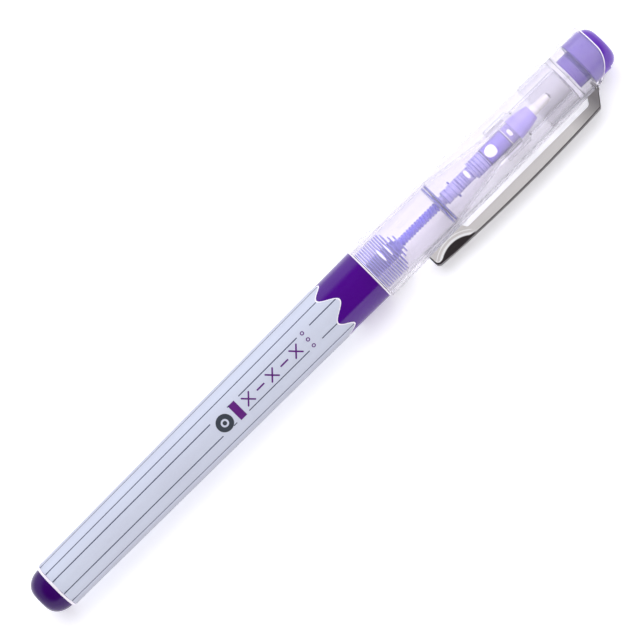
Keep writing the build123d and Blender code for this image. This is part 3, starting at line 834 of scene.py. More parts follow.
def stem_shell(start, end):
    """The stem's outside is a two-start thread: its radius is a cosine of twice the turn plus the
    place along over the lead. Two rows of its bore close it."""
    along = np.linspace(start, end, int((end - start) / THREAD_ROW))[:, None]
    phase = THREAD_STARTS * (comb_turn + FULL_TURN * along / THREAD_LEAD)
    outside = on_turn(along, STEM_RADIUS - THREAD_DEPTH * (1 - np.cos(phase)) / 2, comb_turn)
    bore = on_turn(np.array([[end], [start]]), ROD_BORE, comb_turn)
    points = np.concatenate([outside, bore])
    return points, [grid_faces(len(points), COMB_COLUMNS)]


finish_piece(
    make_mesh("collector_comb", [(comb_points, comb_faces), stem_shell(place, COMB_END)]),
    "pen", ["ink_collector"], comb_lilac,
)

# %% [markdown]
# Two painted highlights sit between fins, where the clear grip catches the light. They are short arcs of a
# flattened tube in white.

# %% Painted highlights between fins


def highlight_bead(along, radius, half_along, half_out, start, end, steps=24, ring=12):
    """A painted highlight between two fins: an arc of tube whose size closes at both ends with the
    square root of a circle. The ends are fans."""
    way = np.linspace(-1, 1, steps)[:, None]
    size = np.sqrt(np.maximum(1 - way**2, 0.003))
    turn = np.radians(start + (end - start) * (way + 1) / 2)
    around = np.arange(ring) * FULL_TURN / ring
    places = along + half_along * size * np.cos(around)
    points = on_turn(places, radius + half_out * size * np.sin(around), turn)
    ends = [end_fan(ring, 0, True), end_fan(ring, ring * (steps - 1), False)]
    return points, [grid_faces(steps, ring, wrap_rows=False), *ends]


highlight_beads = [highlight_bead(85.6, 4.14, 0.26, 0.13, -24, 13), highlight_bead(87.15, 4.14, 0.17, 0.13, -22, 14)]
finish_piece(make_mesh("collector_painted_highlights", highlight_beads), "pen", [], highlight_paint)

# %% [markdown]
# In front of the comb stand the tip holder, a dark sleeve, a ring with one notch and the nose cone.
# They are turned pieces pushed onto each other. The holder's two nubs are short pins that key it in
# the grip. The ring's notch is a flat cut through a stretch of its wall. Thin bands in a deeper violet
# stand for the shade in the grooves, and pale lenses for the light that gathers in the clear parts.

# %% Tip holder
SLEEVE_START, SLEEVE_END = span("sight_sleeve")
RING_START, RING_END = span("lock_ring")
CONE_START, CONE_END = RING_END, span("nose_cone")[1]
COLLAR_START = SLEEVE_START - 3.3
NECK_START = COLLAR_START - 6.9
FLANGE_RADIUS, FLANGE_DISC, NECK_RADIUS, COLLAR_RADIUS = 4.27, 0.3, 1.33, 1.8
SLEEVE_RADIUS, SLEEVE_BORE, SLEEVE_SEAT = 1.86, 1.23, 1.2
first_disc, second_disc = FLANGE_START + FLANGE_DISC, FLANGE_END - FLANGE_DISC
flange = [
    (FLANGE_START, ROD_BORE, 0), (FLANGE_START, FLANGE_RADIUS, 0.08), (first_disc, FLANGE_RADIUS, 0.08),
    (first_disc, 2.0, 0.05), (second_disc, 2.0, 0.05), (second_disc, FLANGE_RADIUS, 0.08),
    (FLANGE_END, FLANGE_RADIUS, 0.08), (FLANGE_END, ROD_BORE, 0),
]


def groove(start, wide, radius, floor):
    """The four corners of a square groove in a turned profile."""
    return [(start, radius, 0.03), (start, floor, 0), (start + wide, floor, 0), (start + wide, radius, 0.03)]


neck = [(FLANGE_END, ROD_BORE, 0), (FLANGE_END, STEM_RADIUS, 0.1), (NECK_START, STEM_RADIUS, 0.1)]
neck += [(NECK_START, NECK_RADIUS, 0.1)]
for place in (1.3, 3.5, 4.8, 5.2):
    neck += groove(NECK_START + place, 0.22, NECK_RADIUS, 1.16)
neck += [(COLLAR_START, NECK_RADIUS, 0), (COLLAR_START, COLLAR_RADIUS, 0.12)]
for place in (0.6, 1.4, 2.9):
    neck += groove(COLLAR_START + place, 0.2, COLLAR_RADIUS, 1.65)
neck += [(SLEEVE_START, COLLAR_RADIUS, 0.06), (SLEEVE_START, SLEEVE_SEAT, 0)]
neck += [(SLEEVE_END, SLEEVE_SEAT, 0.05), (SLEEVE_END, ROD_BORE, 0)]


def nub(side):
    """A short pin from the neck outwards, on the clip's side or away from it, with a domed end."""
    rise = np.array([1.15, 1.7, 1.78, 1.83, 1.85])
    width = np.array([0.2, 0.2, 0.17, 0.1, 0.02])
    turn = np.arange(16) * FULL_TURN / 16
    along = NECK_START + 2.45 + width[:, None] * np.cos(turn)
    up = width[:, None] * np.sin(turn)
    points = np.stack(np.broadcast_arrays(along, side * rise[:, None], up), axis=-1)
    return points, [grid_faces(5, 16, wrap_rows=False), end_fan(16, 0, True), end_fan(16, 64, False)]


turned_piece("tip_holder_neck", neck, "pen", ["tip_holder"], holder_lilac, 96)
flange_shells = [turned_shell(rounded(flange, True), 96), nub(1), nub(-1)]
finish_piece(
    make_mesh("tip_holder_flange", flange_shells), "pen", ["tip_holder"], holder_dark
)

# %% [markdown]
# The sleeve is tinted and clear, so light gathers in it as a pale highlight. That highlight is painted
# as a thin white lens that stands a little proud of the sleeve.

# %% Sight sleeve and its painted highlight
turned_piece(
    "sleeve_dark",
    [
        (SLEEVE_START, SLEEVE_BORE, 0), (SLEEVE_START, SLEEVE_RADIUS, 0.12),
        (SLEEVE_END, SLEEVE_RADIUS, 0.12), (SLEEVE_END, SLEEVE_BORE, 0),
    ],
    "pen", ["sight_sleeve"], sleeve_purple, 96,
)


def highlight_lens(along, turn, half_along, half_turn, radius, ring=40):
    """A painted highlight: a thin white lens on a turned piece, round at its back. Its outline is a circle
    whose front half is squared off by a power of its cosine."""
    around = np.arange(ring) * FULL_TURN / ring
    share = np.array([1, 0.98, 0.7, 0.35, 0.02])[:, None]
    front = np.where(np.cos(around) > 0, np.abs(np.cos(around)) ** 0.6, np.cos(around))
    places = along + half_along * share * front
    turns = turn + half_turn * share * np.sin(around)
    lift = np.array([0.0, 0.03, 0.05, 0.06, 0.06])[:, None]
    top = on_turn(places, radius + lift, turns)
    under = on_turn(places, radius - 0.03, turns)[::-1]
    points = np.concatenate([top, under[1:]])
    return points, [grid_faces(9, ring, wrap_rows=False), end_fan(ring, 8 * ring, False)]


finish_piece(
    make_mesh("sleeve_painted_highlight", [highlight_lens(112.25, math.radians(-1), 1.15, 0.56, 1.85)]),
    "pen", [], highlight_paint,
)

# %% [markdown]
# Grooves this narrow would vanish, so thin bands of a deeper violet paint the shade in them, and
# the same bands paint shade at the sleeve's ends. Pale lenses paint highlights on the neck and at the
# sleeve's front. Each band hardly stands off its piece, and its edges are rounded.

# %% Painted shade in groove and end lines, and the neck's painted highlight


def band_shell(start, end, inner, outer):
    """A thin turned band with its outer edges rounded."""
    edge = (end - start) / 4
    corners = [(start, inner, 0), (start, outer, edge), (end, outer, edge), (end, inner, 0)]
    return turned_shell(rounded(corners, True), 96)


# Each line is (place, width), in millimetres from the start of the neck or of the collar.
NECK_LINES = [
    (0.1, 0.2), (0.95, 0.2), (2.1, 0.15), (3.0, 0.25), (3.55, 0.35), (4.25, 0.2), (4.8, 0.25), (5.2, 0.2),
    (6.35, 0.3),
]
COLLAR_LINES = [(0.25, 0.15), (0.8, 0.2), (1.4, 0.2), (2.2, 0.15), (2.9, 0.2)]
groove_lines = []
for origin, lines, inner, outer in (
    (NECK_START, NECK_LINES, 1.2, 1.35),
    (COLLAR_START, COLLAR_LINES, 1.7, 1.82),
):
    groove_lines += [band_shell(origin + at, origin + at + wide, inner, outer) for at, wide in lines]
finish_piece(make_mesh("holder_groove_lines", groove_lines), "pen", [], groove_shade_paint)
# Painted highlights: a pale lens on the neck and a pale line at the sleeve's front.
neck_highlight = highlight_lens(NECK_START + 5.85, math.radians(-8), 0.34, 0.7, 1.35)
finish_piece(make_mesh("holder_painted_highlight", [neck_highlight]), "pen", [], highlight_paint)
# Painted shade at both ends of the sleeve.
sleeve_lines = [band_shell(at, at + 0.26, 1.8, 1.87) for at in (SLEEVE_START + 0.02, SLEEVE_END - 0.34)]
finish_piece(make_mesh("sleeve_end_lines", sleeve_lines), "pen", [], sleeve_end_painted_shade)
ring_start_highlight = band_shell(SLEEVE_END - 0.07, SLEEVE_END + 0.07, 1.7, 1.88)
finish_piece(make_mesh("sleeve_front_painted_highlight", [ring_start_highlight]), "pen", [], highlight_paint)

# %% [markdown]
# The nose cone bows slightly, which a large radius at its middle corner gives. The ring behind it is
# turned too, and its notch is cut by pulling the points of its wall down to a flat floor. A pale lens
# on that floor paints the light that shows through the notch.

# %% Nose cone and lock ring
turned_piece(
    "nose_cone_shell",
    [
        (RING_START, 0.37, 0), (RING_START, 1.2, 0.05), (CONE_START, 1.2, 0), (CONE_START, 2.2, 0.1),
        ((CONE_START + CONE_END) / 2, 1.97, 8.0), (CONE_END, 1.5, 0.15), (CONE_END, 0.96, 0.05),
        (CONE_END - 2.8, 0.96, 0), (CONE_END - 2.8, 0.37, 0),
    ],
    "pen", ["nose_cone"], nose_lavender, 96,
)
ring_corners = [(RING_START, 1.23, 0), (RING_START, 1.78, 0.08), (RING_END, 1.78, 0.08), (RING_END, 1.23, 0)]
ring_profile = rounded(ring_corners, True)
ring_share = np.arange(6)[:, None] / 6
ring_ahead = np.roll(ring_profile, -1, axis=0)
ring_profile = (ring_profile[:, None] + (ring_ahead - ring_profile)[:, None] * ring_share).reshape(-1, 2)
ring_points, ring_faces = turned_shell(ring_profile, 96)
RING_MIDDLE = (RING_START + RING_END) / 2
NOTCH_HALF_LONG, NOTCH_HALF_WIDE, NOTCH_HEIGHT = 0.45, 0.8, 1.5
notch = np.abs(ring_points[..., 0] - RING_MIDDLE) < NOTCH_HALF_LONG
notch &= (np.abs(ring_points[..., 1]) < NOTCH_HALF_WIDE) & (ring_points[..., 2] > NOTCH_HEIGHT)
ring_points[..., 2] = np.where(notch, NOTCH_HEIGHT, ring_points[..., 2])
finish_piece(
    make_mesh("lock_ring_notched", [(ring_points, ring_faces)], 25),
    "pen", ["lock_ring"], ring_violet,
)
# Painted light: a pale lens where light shows through the notch.
notch_light = highlight_lens(RING_MIDDLE, 0.0, 0.42, 0.4, 1.62)
finish_piece(make_mesh("ring_notch_painted_light", [notch_light]), "pen", [], highlight_paint)

# %% [markdown]
# The tip is a small turned tube whose lip is rolled over the ball, so the ball turns but can't fall
# out. The ball is a sphere made of a grid on latitude and longitude, closed by two fans.

# %% Tip and ball
TIP_START, TIP_END = span("tip_tube")
BALL_START, BALL_END = span("writing_ball")
BALL_MIDDLE, BALL_RADIUS = (BALL_START + BALL_END) / 2, (BALL_END - BALL_START) / 2
WICK_BORE = 0.38
seat = BALL_RADIUS + 0.02
lip_turn = math.acos((TIP_END - BALL_MIDDLE) / seat)
back_turn = math.pi - math.asin(WICK_BORE / seat)
seat_arc = [
    (BALL_MIDDLE + seat * math.cos(a), seat * math.sin(a), 0) for a in np.linspace(lip_turn, back_turn, 12)
]
turned_piece(
    "tip_tube_turned",
    [(TIP_START, WICK_BORE, 0), (TIP_START, 0.93, 0.1), (TIP_END - 0.9, 0.93, 0.3), (TIP_END, 0.8, 0.04)]
    + seat_arc,
    "pen", ["tip_tube"], tip_metal, 96,
)
latitude = np.linspace(0, math.pi, 25)
ball_profile = [(BALL_MIDDLE - BALL_RADIUS * math.cos(a), BALL_RADIUS * math.sin(a), 0) for a in latitude]
ball_profile[0] = (BALL_START, 0, 0)
ball_profile[-1] = (BALL_END, 0, 0)
turned_piece("ball", ball_profile, "ball", ["writing_ball"], ball_metal, 48)

# %% [markdown]
# The fibre rod and its thin wick carry the ink, and the ink itself fills the barrel round the rod.

# %% Fibres and ink
for name, node, radius, slot_name, material in (
    ("feed_rod_fibre", "feed_rod", 0.6, "feed_fibre", feed_fibre),
    ("tip_wick_fibre", "tip_wick", 0.35, "tip_fibre", feed_fibre),
):
    start, end = span(node)
    turned_piece(
        name, [(start, 0, 0), (start, radius, 0.08), (end, radius, 0.08), (end, 0, 0)],
        "pen", [node], material, 48,
    )
INK_START, INK_END = span("ink_fill")
ROD_START = span("feed_rod")[0]
INK_RADIUS = TANK_BORE - 0.03
turned_piece(
    "ink_in_tank",
    [
        (INK_START, 0, 0), (INK_START, INK_RADIUS, 0.1), (INK_END, INK_RADIUS, 0.1), (INK_END, ROD_BORE, 0),
        (ROD_START, ROD_BORE, 0), (ROD_START, 0, 0),
    ],
    "pen", ["ink_fill"], ink, 64,
)

# %% [markdown]
# The cap shell is a tapered tube, but its rim sweeps back on the clip's side along an arc, and a slot
# lets the clip's root through. So it is a grid of its own: rows along the pen, columns round it. The
# last rows stretch to the rim, whose place is a function of the turn. The cells of the slot are left
# out, and four short walls close its sides.

# %% Cap shell
CAP_START, CAP_END = span("cap_shell")
MOUTH_RADIUS, MOUTH_BORE = reach("cap_shell"), 5.0
CAP_TAPER, BORE_TAPER = 0.43, 0.5
SWEEP_RADIUS, SWEEP_START = 5.0, 0.3
CLIP_ROOT = span("pocket_clip")[1]
SLOT_START, SLOT_END = CLIP_ROOT - 0.6, CLIP_ROOT + 0.2
SLOT_HALF_DEGREES = 17.5
RIM_ROUND, MOUTH_ROUND = 0.12, 0.15
CAP_COLUMNS = 144
cap_turn = np.arange(CAP_COLUMNS) * FULL_TURN / CAP_COLUMNS


def cap_outside(along):
    """The cap's outer radius, a straight taper from the mouth."""
    return MOUTH_RADIUS - CAP_TAPER * (along - CAP_START) / (CAP_END - CAP_START)


def cap_bore(along):
    """The cap's inner radius, a slightly steeper taper."""
    return MOUTH_BORE - BORE_TAPER * (along - CAP_START) / (CAP_END - CAP_START)


def rim_place(turn, radius):
    """The rim: square to the axis, but where a point stands towards the clip by more than the sweep's
    start, it follows a circle that falls back from the rim."""
    height = np.clip(radius * np.sin(turn) - SWEEP_START, 0, SWEEP_RADIUS)
    return CAP_END - SWEEP_RADIUS + np.sqrt(SWEEP_RADIUS**2 - height**2)


def cap_shell():
    """Rows: outside from mouth to rim, a rounded rim, inside back to the mouth, a rounded mouth."""
    turn = cap_turn[None, :]
    straight = np.r_[CAP_START + MOUTH_ROUND, np.linspace(CAP_START + 0.2, SLOT_START, 24)]
    fixed = np.r_[straight, SLOT_END, SLOT_END + 0.08][:, None]
    share = np.linspace(0, 1, 13)[1:, None]
    outer_rim = rim_place(turn, cap_outside(CAP_END)) - RIM_ROUND
    inner_rim = rim_place(turn, cap_bore(CAP_END)) - RIM_ROUND
    outer_rows = np.concatenate([fixed + 0 * turn, fixed[-1] + share * (outer_rim - fixed[-1])])
    inner_rows = np.concatenate([fixed + 0 * turn, fixed[-1] + share * (inner_rim - fixed[-1])])
    outside = on_turn(outer_rows, cap_outside(outer_rows), turn)
    inside = on_turn(inner_rows, cap_bore(inner_rows), turn)[::-1]
    bend = np.linspace(0, 1, 7)[1:-1, None]
    bulge = np.sqrt(1 - (2 * bend - 1) ** 4)
    rim_along = outer_rows[-1] + (inner_rows[-1] - outer_rows[-1]) * bend + RIM_ROUND * bulge
    rim_radius = cap_outside(outer_rows[-1]) * (1 - bend) + cap_bore(inner_rows[-1]) * bend
    mouth_along = CAP_START + MOUTH_ROUND * (1 - bulge) + 0 * turn
    mouth_radius = cap_bore(CAP_START) * (1 - bend) + cap_outside(CAP_START) * bend + 0 * turn
    rows = [outside, on_turn(rim_along, rim_radius, turn), inside, on_turn(mouth_along, mouth_radius, turn)]
    points = np.concatenate(rows)
    count = len(points)
    quads = grid_faces(count, CAP_COLUMNS).reshape(count, CAP_COLUMNS, 4)
    keep = np.ones((count, CAP_COLUMNS), bool)
    first = int(CAP_COLUMNS * (90 - SLOT_HALF_DEGREES) / 360)
    last = int(CAP_COLUMNS * (90 + SLOT_HALF_DEGREES) / 360)
    outer_row = len(straight) - 1
    inner_row = len(outside) + len(rows[1]) + len(inside) - 2 - outer_row
    keep[outer_row, first:last] = False
    keep[inner_row, first:last] = False
    number = np.arange(count * CAP_COLUMNS).reshape(count, CAP_COLUMNS)
    out_low, out_high = number[outer_row], number[outer_row + 1]
    in_low, in_high = number[inner_row + 1], number[inner_row]
    ring = np.arange(first, last)
    walls = [
        np.stack([out_low[ring], out_low[ring + 1], in_low[ring + 1], in_low[ring]], axis=-1),
        np.stack([out_high[ring + 1], out_high[ring], in_high[ring], in_high[ring + 1]], axis=-1),
        np.array([[out_high[first], out_low[first], in_low[first], in_high[first]]]),
        np.array([[out_low[last], out_high[last], in_high[last], in_low[last]]]),
    ]
    return points, [quads[keep]] + [wall[:, ::-1] for wall in walls]


print("cap radius at its mouth and its rim:", [round(cap_outside(x), 2) for x in (CAP_START, CAP_END)])

# %% [markdown]
# The cap's rim and mouth catch the light as pale lines, and these highlights are painted: a thin white
# bead follows the rim, and a thin white ring stands in the mouth.

# %% The cap's edges and its mesh


def rim_bead():
    """A thin bead that follows the rim's outer edge all round: a painted highlight where the edge catches the
    light.
    """
    around = (np.arange(8) * FULL_TURN / 8)[:, None]
    radius = cap_outside(CAP_END) - 0.1 + 0.07 * np.sin(around)
    along = rim_place(cap_turn[None, :], radius) - RIM_ROUND + 0.1 * np.cos(around)
    return on_turn(along, radius, cap_turn[None, :]), [grid_faces(8, CAP_COLUMNS)]


finish_piece(make_mesh("cap_rim_painted_highlight", [rim_bead()]), "cap", [], edge_highlight_paint)
turned_piece(
    "cap_mouth_painted_highlight",
    [(CAP_START + x, r, 0) for x, r in ((0.03, 5.05), (0.03, 5.58), (0.12, 5.58), (0.12, 5.05))],
    "cap", [], edge_highlight_paint,
)
cap_points, cap_faces = cap_shell()
finish_piece(
    make_mesh("cap_shell_clear", [(cap_points, cap_faces)], 50), "cap", ["cap_shell"], clear_cap
)

# %% [markdown]
# The inner cap closes on the grip's nose so that the ink can't dry. It is a stepped tube with a floor,
# and a skirt that grips the cap shell.

# %% Inner cap
SEAL_START, SEAL_END = span("inner_cap")
SKIRT_START = SEAL_END - 8.1
SEAL_FLOOR = SEAL_END - 1.2
SEAL_STEP, SEAL_NARROW = SEAL_START + 5.1, SEAL_START + 5.9
SKIRT_GAP, SKIRT_WALL = 0.03, 0.5
skirt_front, skirt_back = (float(cap_bore(place)) - SKIRT_GAP for place in (SKIRT_START, SEAL_END))
turned_piece(
    "inner_cap_seal",
    [
        (SEAL_START, 3.05, 0.1), (SEAL_START, 3.55, 0.15), (SEAL_STEP, 3.55, 0.3),
        (SEAL_NARROW, 2.9, 0.3), (SEAL_FLOOR, 2.9, 0.2), (SEAL_FLOOR, skirt_back - SKIRT_WALL, 0.2),
        (SKIRT_START, skirt_front - SKIRT_WALL, 0.1), (SKIRT_START, skirt_front, 0.1),
        (SEAL_END, skirt_back, 0.15), (SEAL_END, 0.3, 0), (SEAL_END - 0.01, 0.2, 0),
        (SEAL_FLOOR + 0.01, 0.2, 0), (SEAL_FLOOR, 0.3, 0), (SEAL_FLOOR, 2.4, 0.3),
        (SEAL_NARROW, 2.4, 0.2), (SEAL_STEP, 3.05, 0.2),
    ],
    "cap", ["inner_cap"], clear_inner,
)

# %% [markdown]
# The crown plug is pushed in behind the inner cap and closes the cap with a head whose edge is well
# rounded. Its many rows let the bare tone begin exactly at the cap's swept rim.

# %% Crown plug
CROWN_START, CROWN_END = span("crown_plug")
CROWN_SEAT, LIP = CAP_END - 4.3, CAP_END - 0.5
CROWN_NECK, HEAD_GAP, HEAD_RADIUS, HEAD_EDGE, RIM_BLUR = 3.2, 0.05, 4.18, 2.0, 0.1


def head_corner(along, edge):
    """A corner of the crown's head where it fits the cap's bore."""
    return along, float(cap_bore(along)) - HEAD_GAP, edge


head_rows = [head_corner(x, 0) for x in np.linspace(CROWN_SEAT + 1.2, LIP - 0.2, 28)]
head_round = [
    (CROWN_END - HEAD_EDGE + HEAD_EDGE * math.sin(a), HEAD_RADIUS - HEAD_EDGE + HEAD_EDGE * math.cos(a), 0)
    for a in np.linspace(0.07, math.pi / 2, 22)
]
crown_head = turned_piece(
    "crown_plug_head",
    [(CROWN_START, 0, 0), (CROWN_START, CROWN_NECK, 0.2), (CROWN_SEAT, CROWN_NECK, 0)]
    + [head_corner(CROWN_SEAT, 0.15), *head_rows, head_corner(LIP, 0.12)]
    + [(LIP, HEAD_RADIUS, 0), (CROWN_END - HEAD_EDGE, HEAD_RADIUS, 0)]
    + head_round
    + [(CROWN_END, 1.0, 0), (CROWN_END, 0, 0)],
    "cap", ["crown_plug"], crown_purple,
)

# %% [markdown]
# A point of the crown is bare where it lies past the rim. The rim's place is the same circle that the
# cap's shell follows. Two thin bands draw the shade where the head and its neck meet the cap.

# %% The crown's bare share and seat lines
crown_points = np.empty(len(crown_head.data.vertices) * 3)
crown_head.data.vertices.foreach_get("co", crown_points)
crown_points = crown_points.reshape(-1, 3) - [TAIL, AXIS.y, AXIS.z]
clip_side = -(crown_points @ [0, math.cos(ROLL), math.sin(ROLL)]) / MM
fall_back = np.sqrt(SWEEP_RADIUS**2 - np.clip(clip_side - SWEEP_START, 0, SWEEP_RADIUS * 0.99) ** 2)
past_rim = crown_points[:, 0] / MM - (CAP_END - SWEEP_RADIUS + fall_back)
# Under the rim the crown keeps its painted paler tone; past the rim it shows its own deep purple.
carry(crown_head, BARE_PURPLE[0], np.clip(past_rim / RIM_BLUR + 0.5, 0, 1))

crown_lines = [
    band_shell(CROWN_SEAT - 0.03, CROWN_SEAT + 0.25, 3.9, float(cap_bore(CROWN_SEAT)) - 0.035),
    band_shell(CROWN_SEAT - 0.8, CROWN_SEAT - 0.02, 3.0, CROWN_NECK + 0.02),
]
# Painted shade: two deeper violet bands where the head and its neck meet the cap.
crown_shadow = moulded("crown_seat_painted_shade", "#4a3690", "#3d2a80", 0.25, cloud_mm=1.0, IOR=1.5)
finish_piece(make_mesh("crown_seat_lines", crown_lines), "cap", [], crown_shadow)

# %% [markdown]
# The clip is one strip of steel, folded to a channel that opens towards the cap. In side view its face
# is a long slight bow, turned down at the toe and bent along a slope at the root. At every station
# along the face, a line runs from the channel's open edge to the face, and the channel's section is
# drawn on it: side wall, rounded fold, face, fold, side wall, and back inside at the sheet's
# thickness. A shallow scoop is pressed into both folds over the pad.

# %% Pocket clip: its side view
CLIP_TOE = span("pocket_clip")[0]
CLIP_WIDTH, SHEET = 4.0, 0.4
SLOPE_RUN, SLOPE_HEIGHT, TOE_HEIGHT, BOW = 2.2, 8.2, 7.9, 0.6
EDGE_HEIGHT, PAD_LENGTH, ROOT_BACK = 6.55, 8.1, CLIP_ROOT - 2.7
BEND = CLIP_ROOT - SLOPE_RUN
PAD_HEIGHT = float(cap_outside(CLIP_TOE)) + 0.06
ROOT_HEIGHT = float(cap_outside(ROOT_BACK)) + 0.06


def face_height(along):
    """The face's height off the axis: a straight chord plus a parabola of the bow's rise."""
    share = (BEND - along) / (BEND - CLIP_TOE)
    return SLOPE_HEIGHT + (TOE_HEIGHT - SLOPE_HEIGHT) * share + 4 * BOW * share * (1 - share)


def walk(line, marks, steps):
    """Points on a polyline at evenly spread lengths between marks. A mark is the share of the line's
    whole length, and steps gives how many points lie from one mark to the next."""
    lengths = np.r_[0, np.cumsum(np.hypot(*np.diff(line, axis=0).T))]
    at = np.concatenate([np.linspace(a, b, n, endpoint=False) for a, b, n in zip(marks, marks[1:], steps)])
    at = np.r_[at, marks[-1]]
    return np.stack([np.interp(at, lengths, line[:, k]) for k in (0, 1)], axis=-1)


def mark_at(line, along, height):
    """The length along a line of its point nearest to this one."""
    lengths = np.r_[0, np.cumsum(np.hypot(*np.diff(line, axis=0).T))]
    return float(lengths[np.argmin(np.hypot(line[:, 0] - along, line[:, 1] - height))])


print("clip length in millimetres:", round(CLIP_ROOT - CLIP_TOE, 2))

# %% [markdown]
# Two lines lie in the side view, the face's and the open edge's. Both are walked in the same number of
# steps between matching marks, so each station joins a point of one to a point of the other.

# %% Pocket clip: stations along it
bow_places = np.linspace(CLIP_TOE + 1.0, BEND - 0.4, 120)
face_corners = [(CLIP_TOE, PAD_HEIGHT, 0), (CLIP_TOE, float(face_height(CLIP_TOE)), 1.0)]
face_corners += [(float(x), float(face_height(x)), 0) for x in bow_places[2:-1]]
face_corners += [(BEND, SLOPE_HEIGHT, 0.35), (CLIP_ROOT, ROOT_HEIGHT, 0)]
face_line = rounded(face_corners, closed=False)
edge_corners = [
    (CLIP_TOE + SHEET, PAD_HEIGHT, 0), (CLIP_TOE + PAD_LENGTH, PAD_HEIGHT, 0.3),
    (CLIP_TOE + PAD_LENGTH + 0.5, EDGE_HEIGHT, 0.3), (ROOT_BACK - 0.8, EDGE_HEIGHT, 0.8),
    (ROOT_BACK, ROOT_HEIGHT, 0.0), (CLIP_ROOT - SHEET, ROOT_HEIGHT, 0),
]
edge_line = rounded(edge_corners, closed=False)
pad_end = CLIP_TOE + PAD_LENGTH
STEPS = [14, 14, 96, 6, 120, 16, 22]
face_marks = [
    0.0, mark_at(face_line, CLIP_TOE, TOE_HEIGHT - 1.0),
    mark_at(face_line, CLIP_TOE + 1.1, face_height(CLIP_TOE + 1.1)),
    mark_at(face_line, pad_end, face_height(pad_end)),
    mark_at(face_line, pad_end + 0.5, face_height(pad_end + 0.5)),
    mark_at(face_line, ROOT_BACK - 1.6, face_height(ROOT_BACK - 1.6)),
    mark_at(face_line, BEND - 0.1, SLOPE_HEIGHT),
    mark_at(face_line, CLIP_ROOT, ROOT_HEIGHT),
]
edge_marks = [
    0.0, 0.3, 0.9,
    mark_at(edge_line, pad_end - 0.2, PAD_HEIGHT), mark_at(edge_line, pad_end + 0.7, EDGE_HEIGHT),
    mark_at(edge_line, ROOT_BACK - 1.6, EDGE_HEIGHT), mark_at(edge_line, ROOT_BACK, ROOT_HEIGHT),
    mark_at(edge_line, CLIP_ROOT - SHEET, ROOT_HEIGHT),
]
face_points = walk(face_line, face_marks, STEPS)
edge_points = walk(edge_line, edge_marks, STEPS)
print("clip stations:", len(face_points))

# %% [markdown]
# A scoop is where a ball was pressed into the channel's corner. A ball of this radius and place meets
# the side wall in an arc of the scoop's length and height, and the face at the scoop's depth. The
# metal doesn't break at the rim of the press: an eased minimum rounds it by a fifth of a millimetre.

# %% Pocket clip: its section and scoops
FOLD = 0.5
SCOOP_HALF, SCOOP_HEIGHT, SCOOP_DEPTH = 3.8, 1.5, 0.7
SCOOP_MIDDLE = CLIP_TOE + 4.4
RIM_EASE = 0.2
SCOOP_ARC = (SCOOP_HALF**2 + SCOOP_HEIGHT**2) / (2 * SCOOP_HEIGHT)
BALL_ACROSS = CLIP_WIDTH / 2 + (SCOOP_HALF**2 - SCOOP_DEPTH**2) / (2 * SCOOP_DEPTH)
BALL_HEIGHT = face_height(SCOOP_MIDDLE) + SCOOP_ARC - SCOOP_HEIGHT
PRESS_RADIUS = math.hypot(SCOOP_ARC, BALL_ACROSS - CLIP_WIDTH / 2)


def offset_inward(line, distance):
    """The same line moved square to itself, towards the channel's inside."""
    heading = np.gradient(line, axis=0)
    heading /= np.hypot(heading[:, 0], heading[:, 1])[:, None]
    return line + distance * np.stack([heading[:, 1], -heading[:, 0]], axis=-1)


def channel_shell():
    """Each station's closed section. A side point is a share of the way from edge to face with a
    fixed place across. The fold is a quarter circle, and the inside keeps the sheet's thickness."""
    inner_face = offset_inward(face_points, SHEET)
    down = edge_points - face_points
    depth = np.hypot(down[:, 0], down[:, 1])
    down = down / np.maximum(depth, 1e-6)[:, None]
    fold = np.minimum(FOLD, depth * 0.45)
    inner_down = edge_points - inner_face
    inner_depth = np.maximum(np.hypot(inner_down[:, 0], inner_down[:, 1]), 1e-6)
    inner_down = inner_down / inner_depth[:, None]
    half = CLIP_WIDTH / 2
    wall = np.linspace(1, 0, 25)
    turn = np.linspace(0, math.pi / 2, 8)[1:]
    flat = np.linspace(1, -1, 9)[1:-1]
    rows = []
    for share in wall:
        rows.append((face_points + down * (fold + share * (depth - fold))[:, None], half))
    for angle in turn:
        place = face_points + down * (fold * (1 - np.sin(angle)))[:, None]
        rows.append((place, half - fold * (1 - np.cos(angle))))
    across = [(face_points, (half - fold) * share) for share in flat]
    outer = rows + across + [(place, -width) for place, width in rows[::-1]]
    inner_rows = [
        (inner_face + inner_down * (share * inner_depth)[:, None], half - SHEET) for share in wall
    ]
    inner = inner_rows + [(inner_face, (half - SHEET) * share) for share in flat]
    inner += [(place, -width) for place, width in inner_rows[::-1]]
    return outer, inner


def scooped(place, width, sheet):
    """How far across a point may stand. A ball presses each of the toe's corners in, and the wall
    keeps the sheet's thickness, so inside it is pressed by a ball grown by the sheet."""
    away = np.hypot(place[:, 0] - SCOOP_MIDDLE, place[:, 1] - BALL_HEIGHT)
    limit = BALL_ACROSS - np.sqrt(np.maximum((PRESS_RADIUS + sheet) ** 2 - away**2, 0))
    apart = np.abs(width) - limit
    eased = (np.abs(width) + limit - np.sqrt(apart**2 + RIM_EASE**2)) / 2
    pressed = np.where(apart > -0.6, eased, np.abs(width))
    return np.sign(width) * np.minimum(np.abs(width), np.maximum(pressed, 0.3))


def clip_section(rows, sheet):
    """Own-frame points of one run of the section, scoops included."""
    made = []
    for place, width in rows:
        across = scooped(place, width + np.zeros(len(place)), sheet)
        made.append(np.stack([place[:, 0], -place[:, 1], across], axis=-1))
    return made


print("radius of the ball that presses a scoop, in millimetres:", round(PRESS_RADIUS, 2))

# %% [markdown]
# The outer and the inner run of the section make one closed skin, and two end caps join them. A small
# tang at the root goes through the cap's slot. The mesh carries which points are the channel's inside.

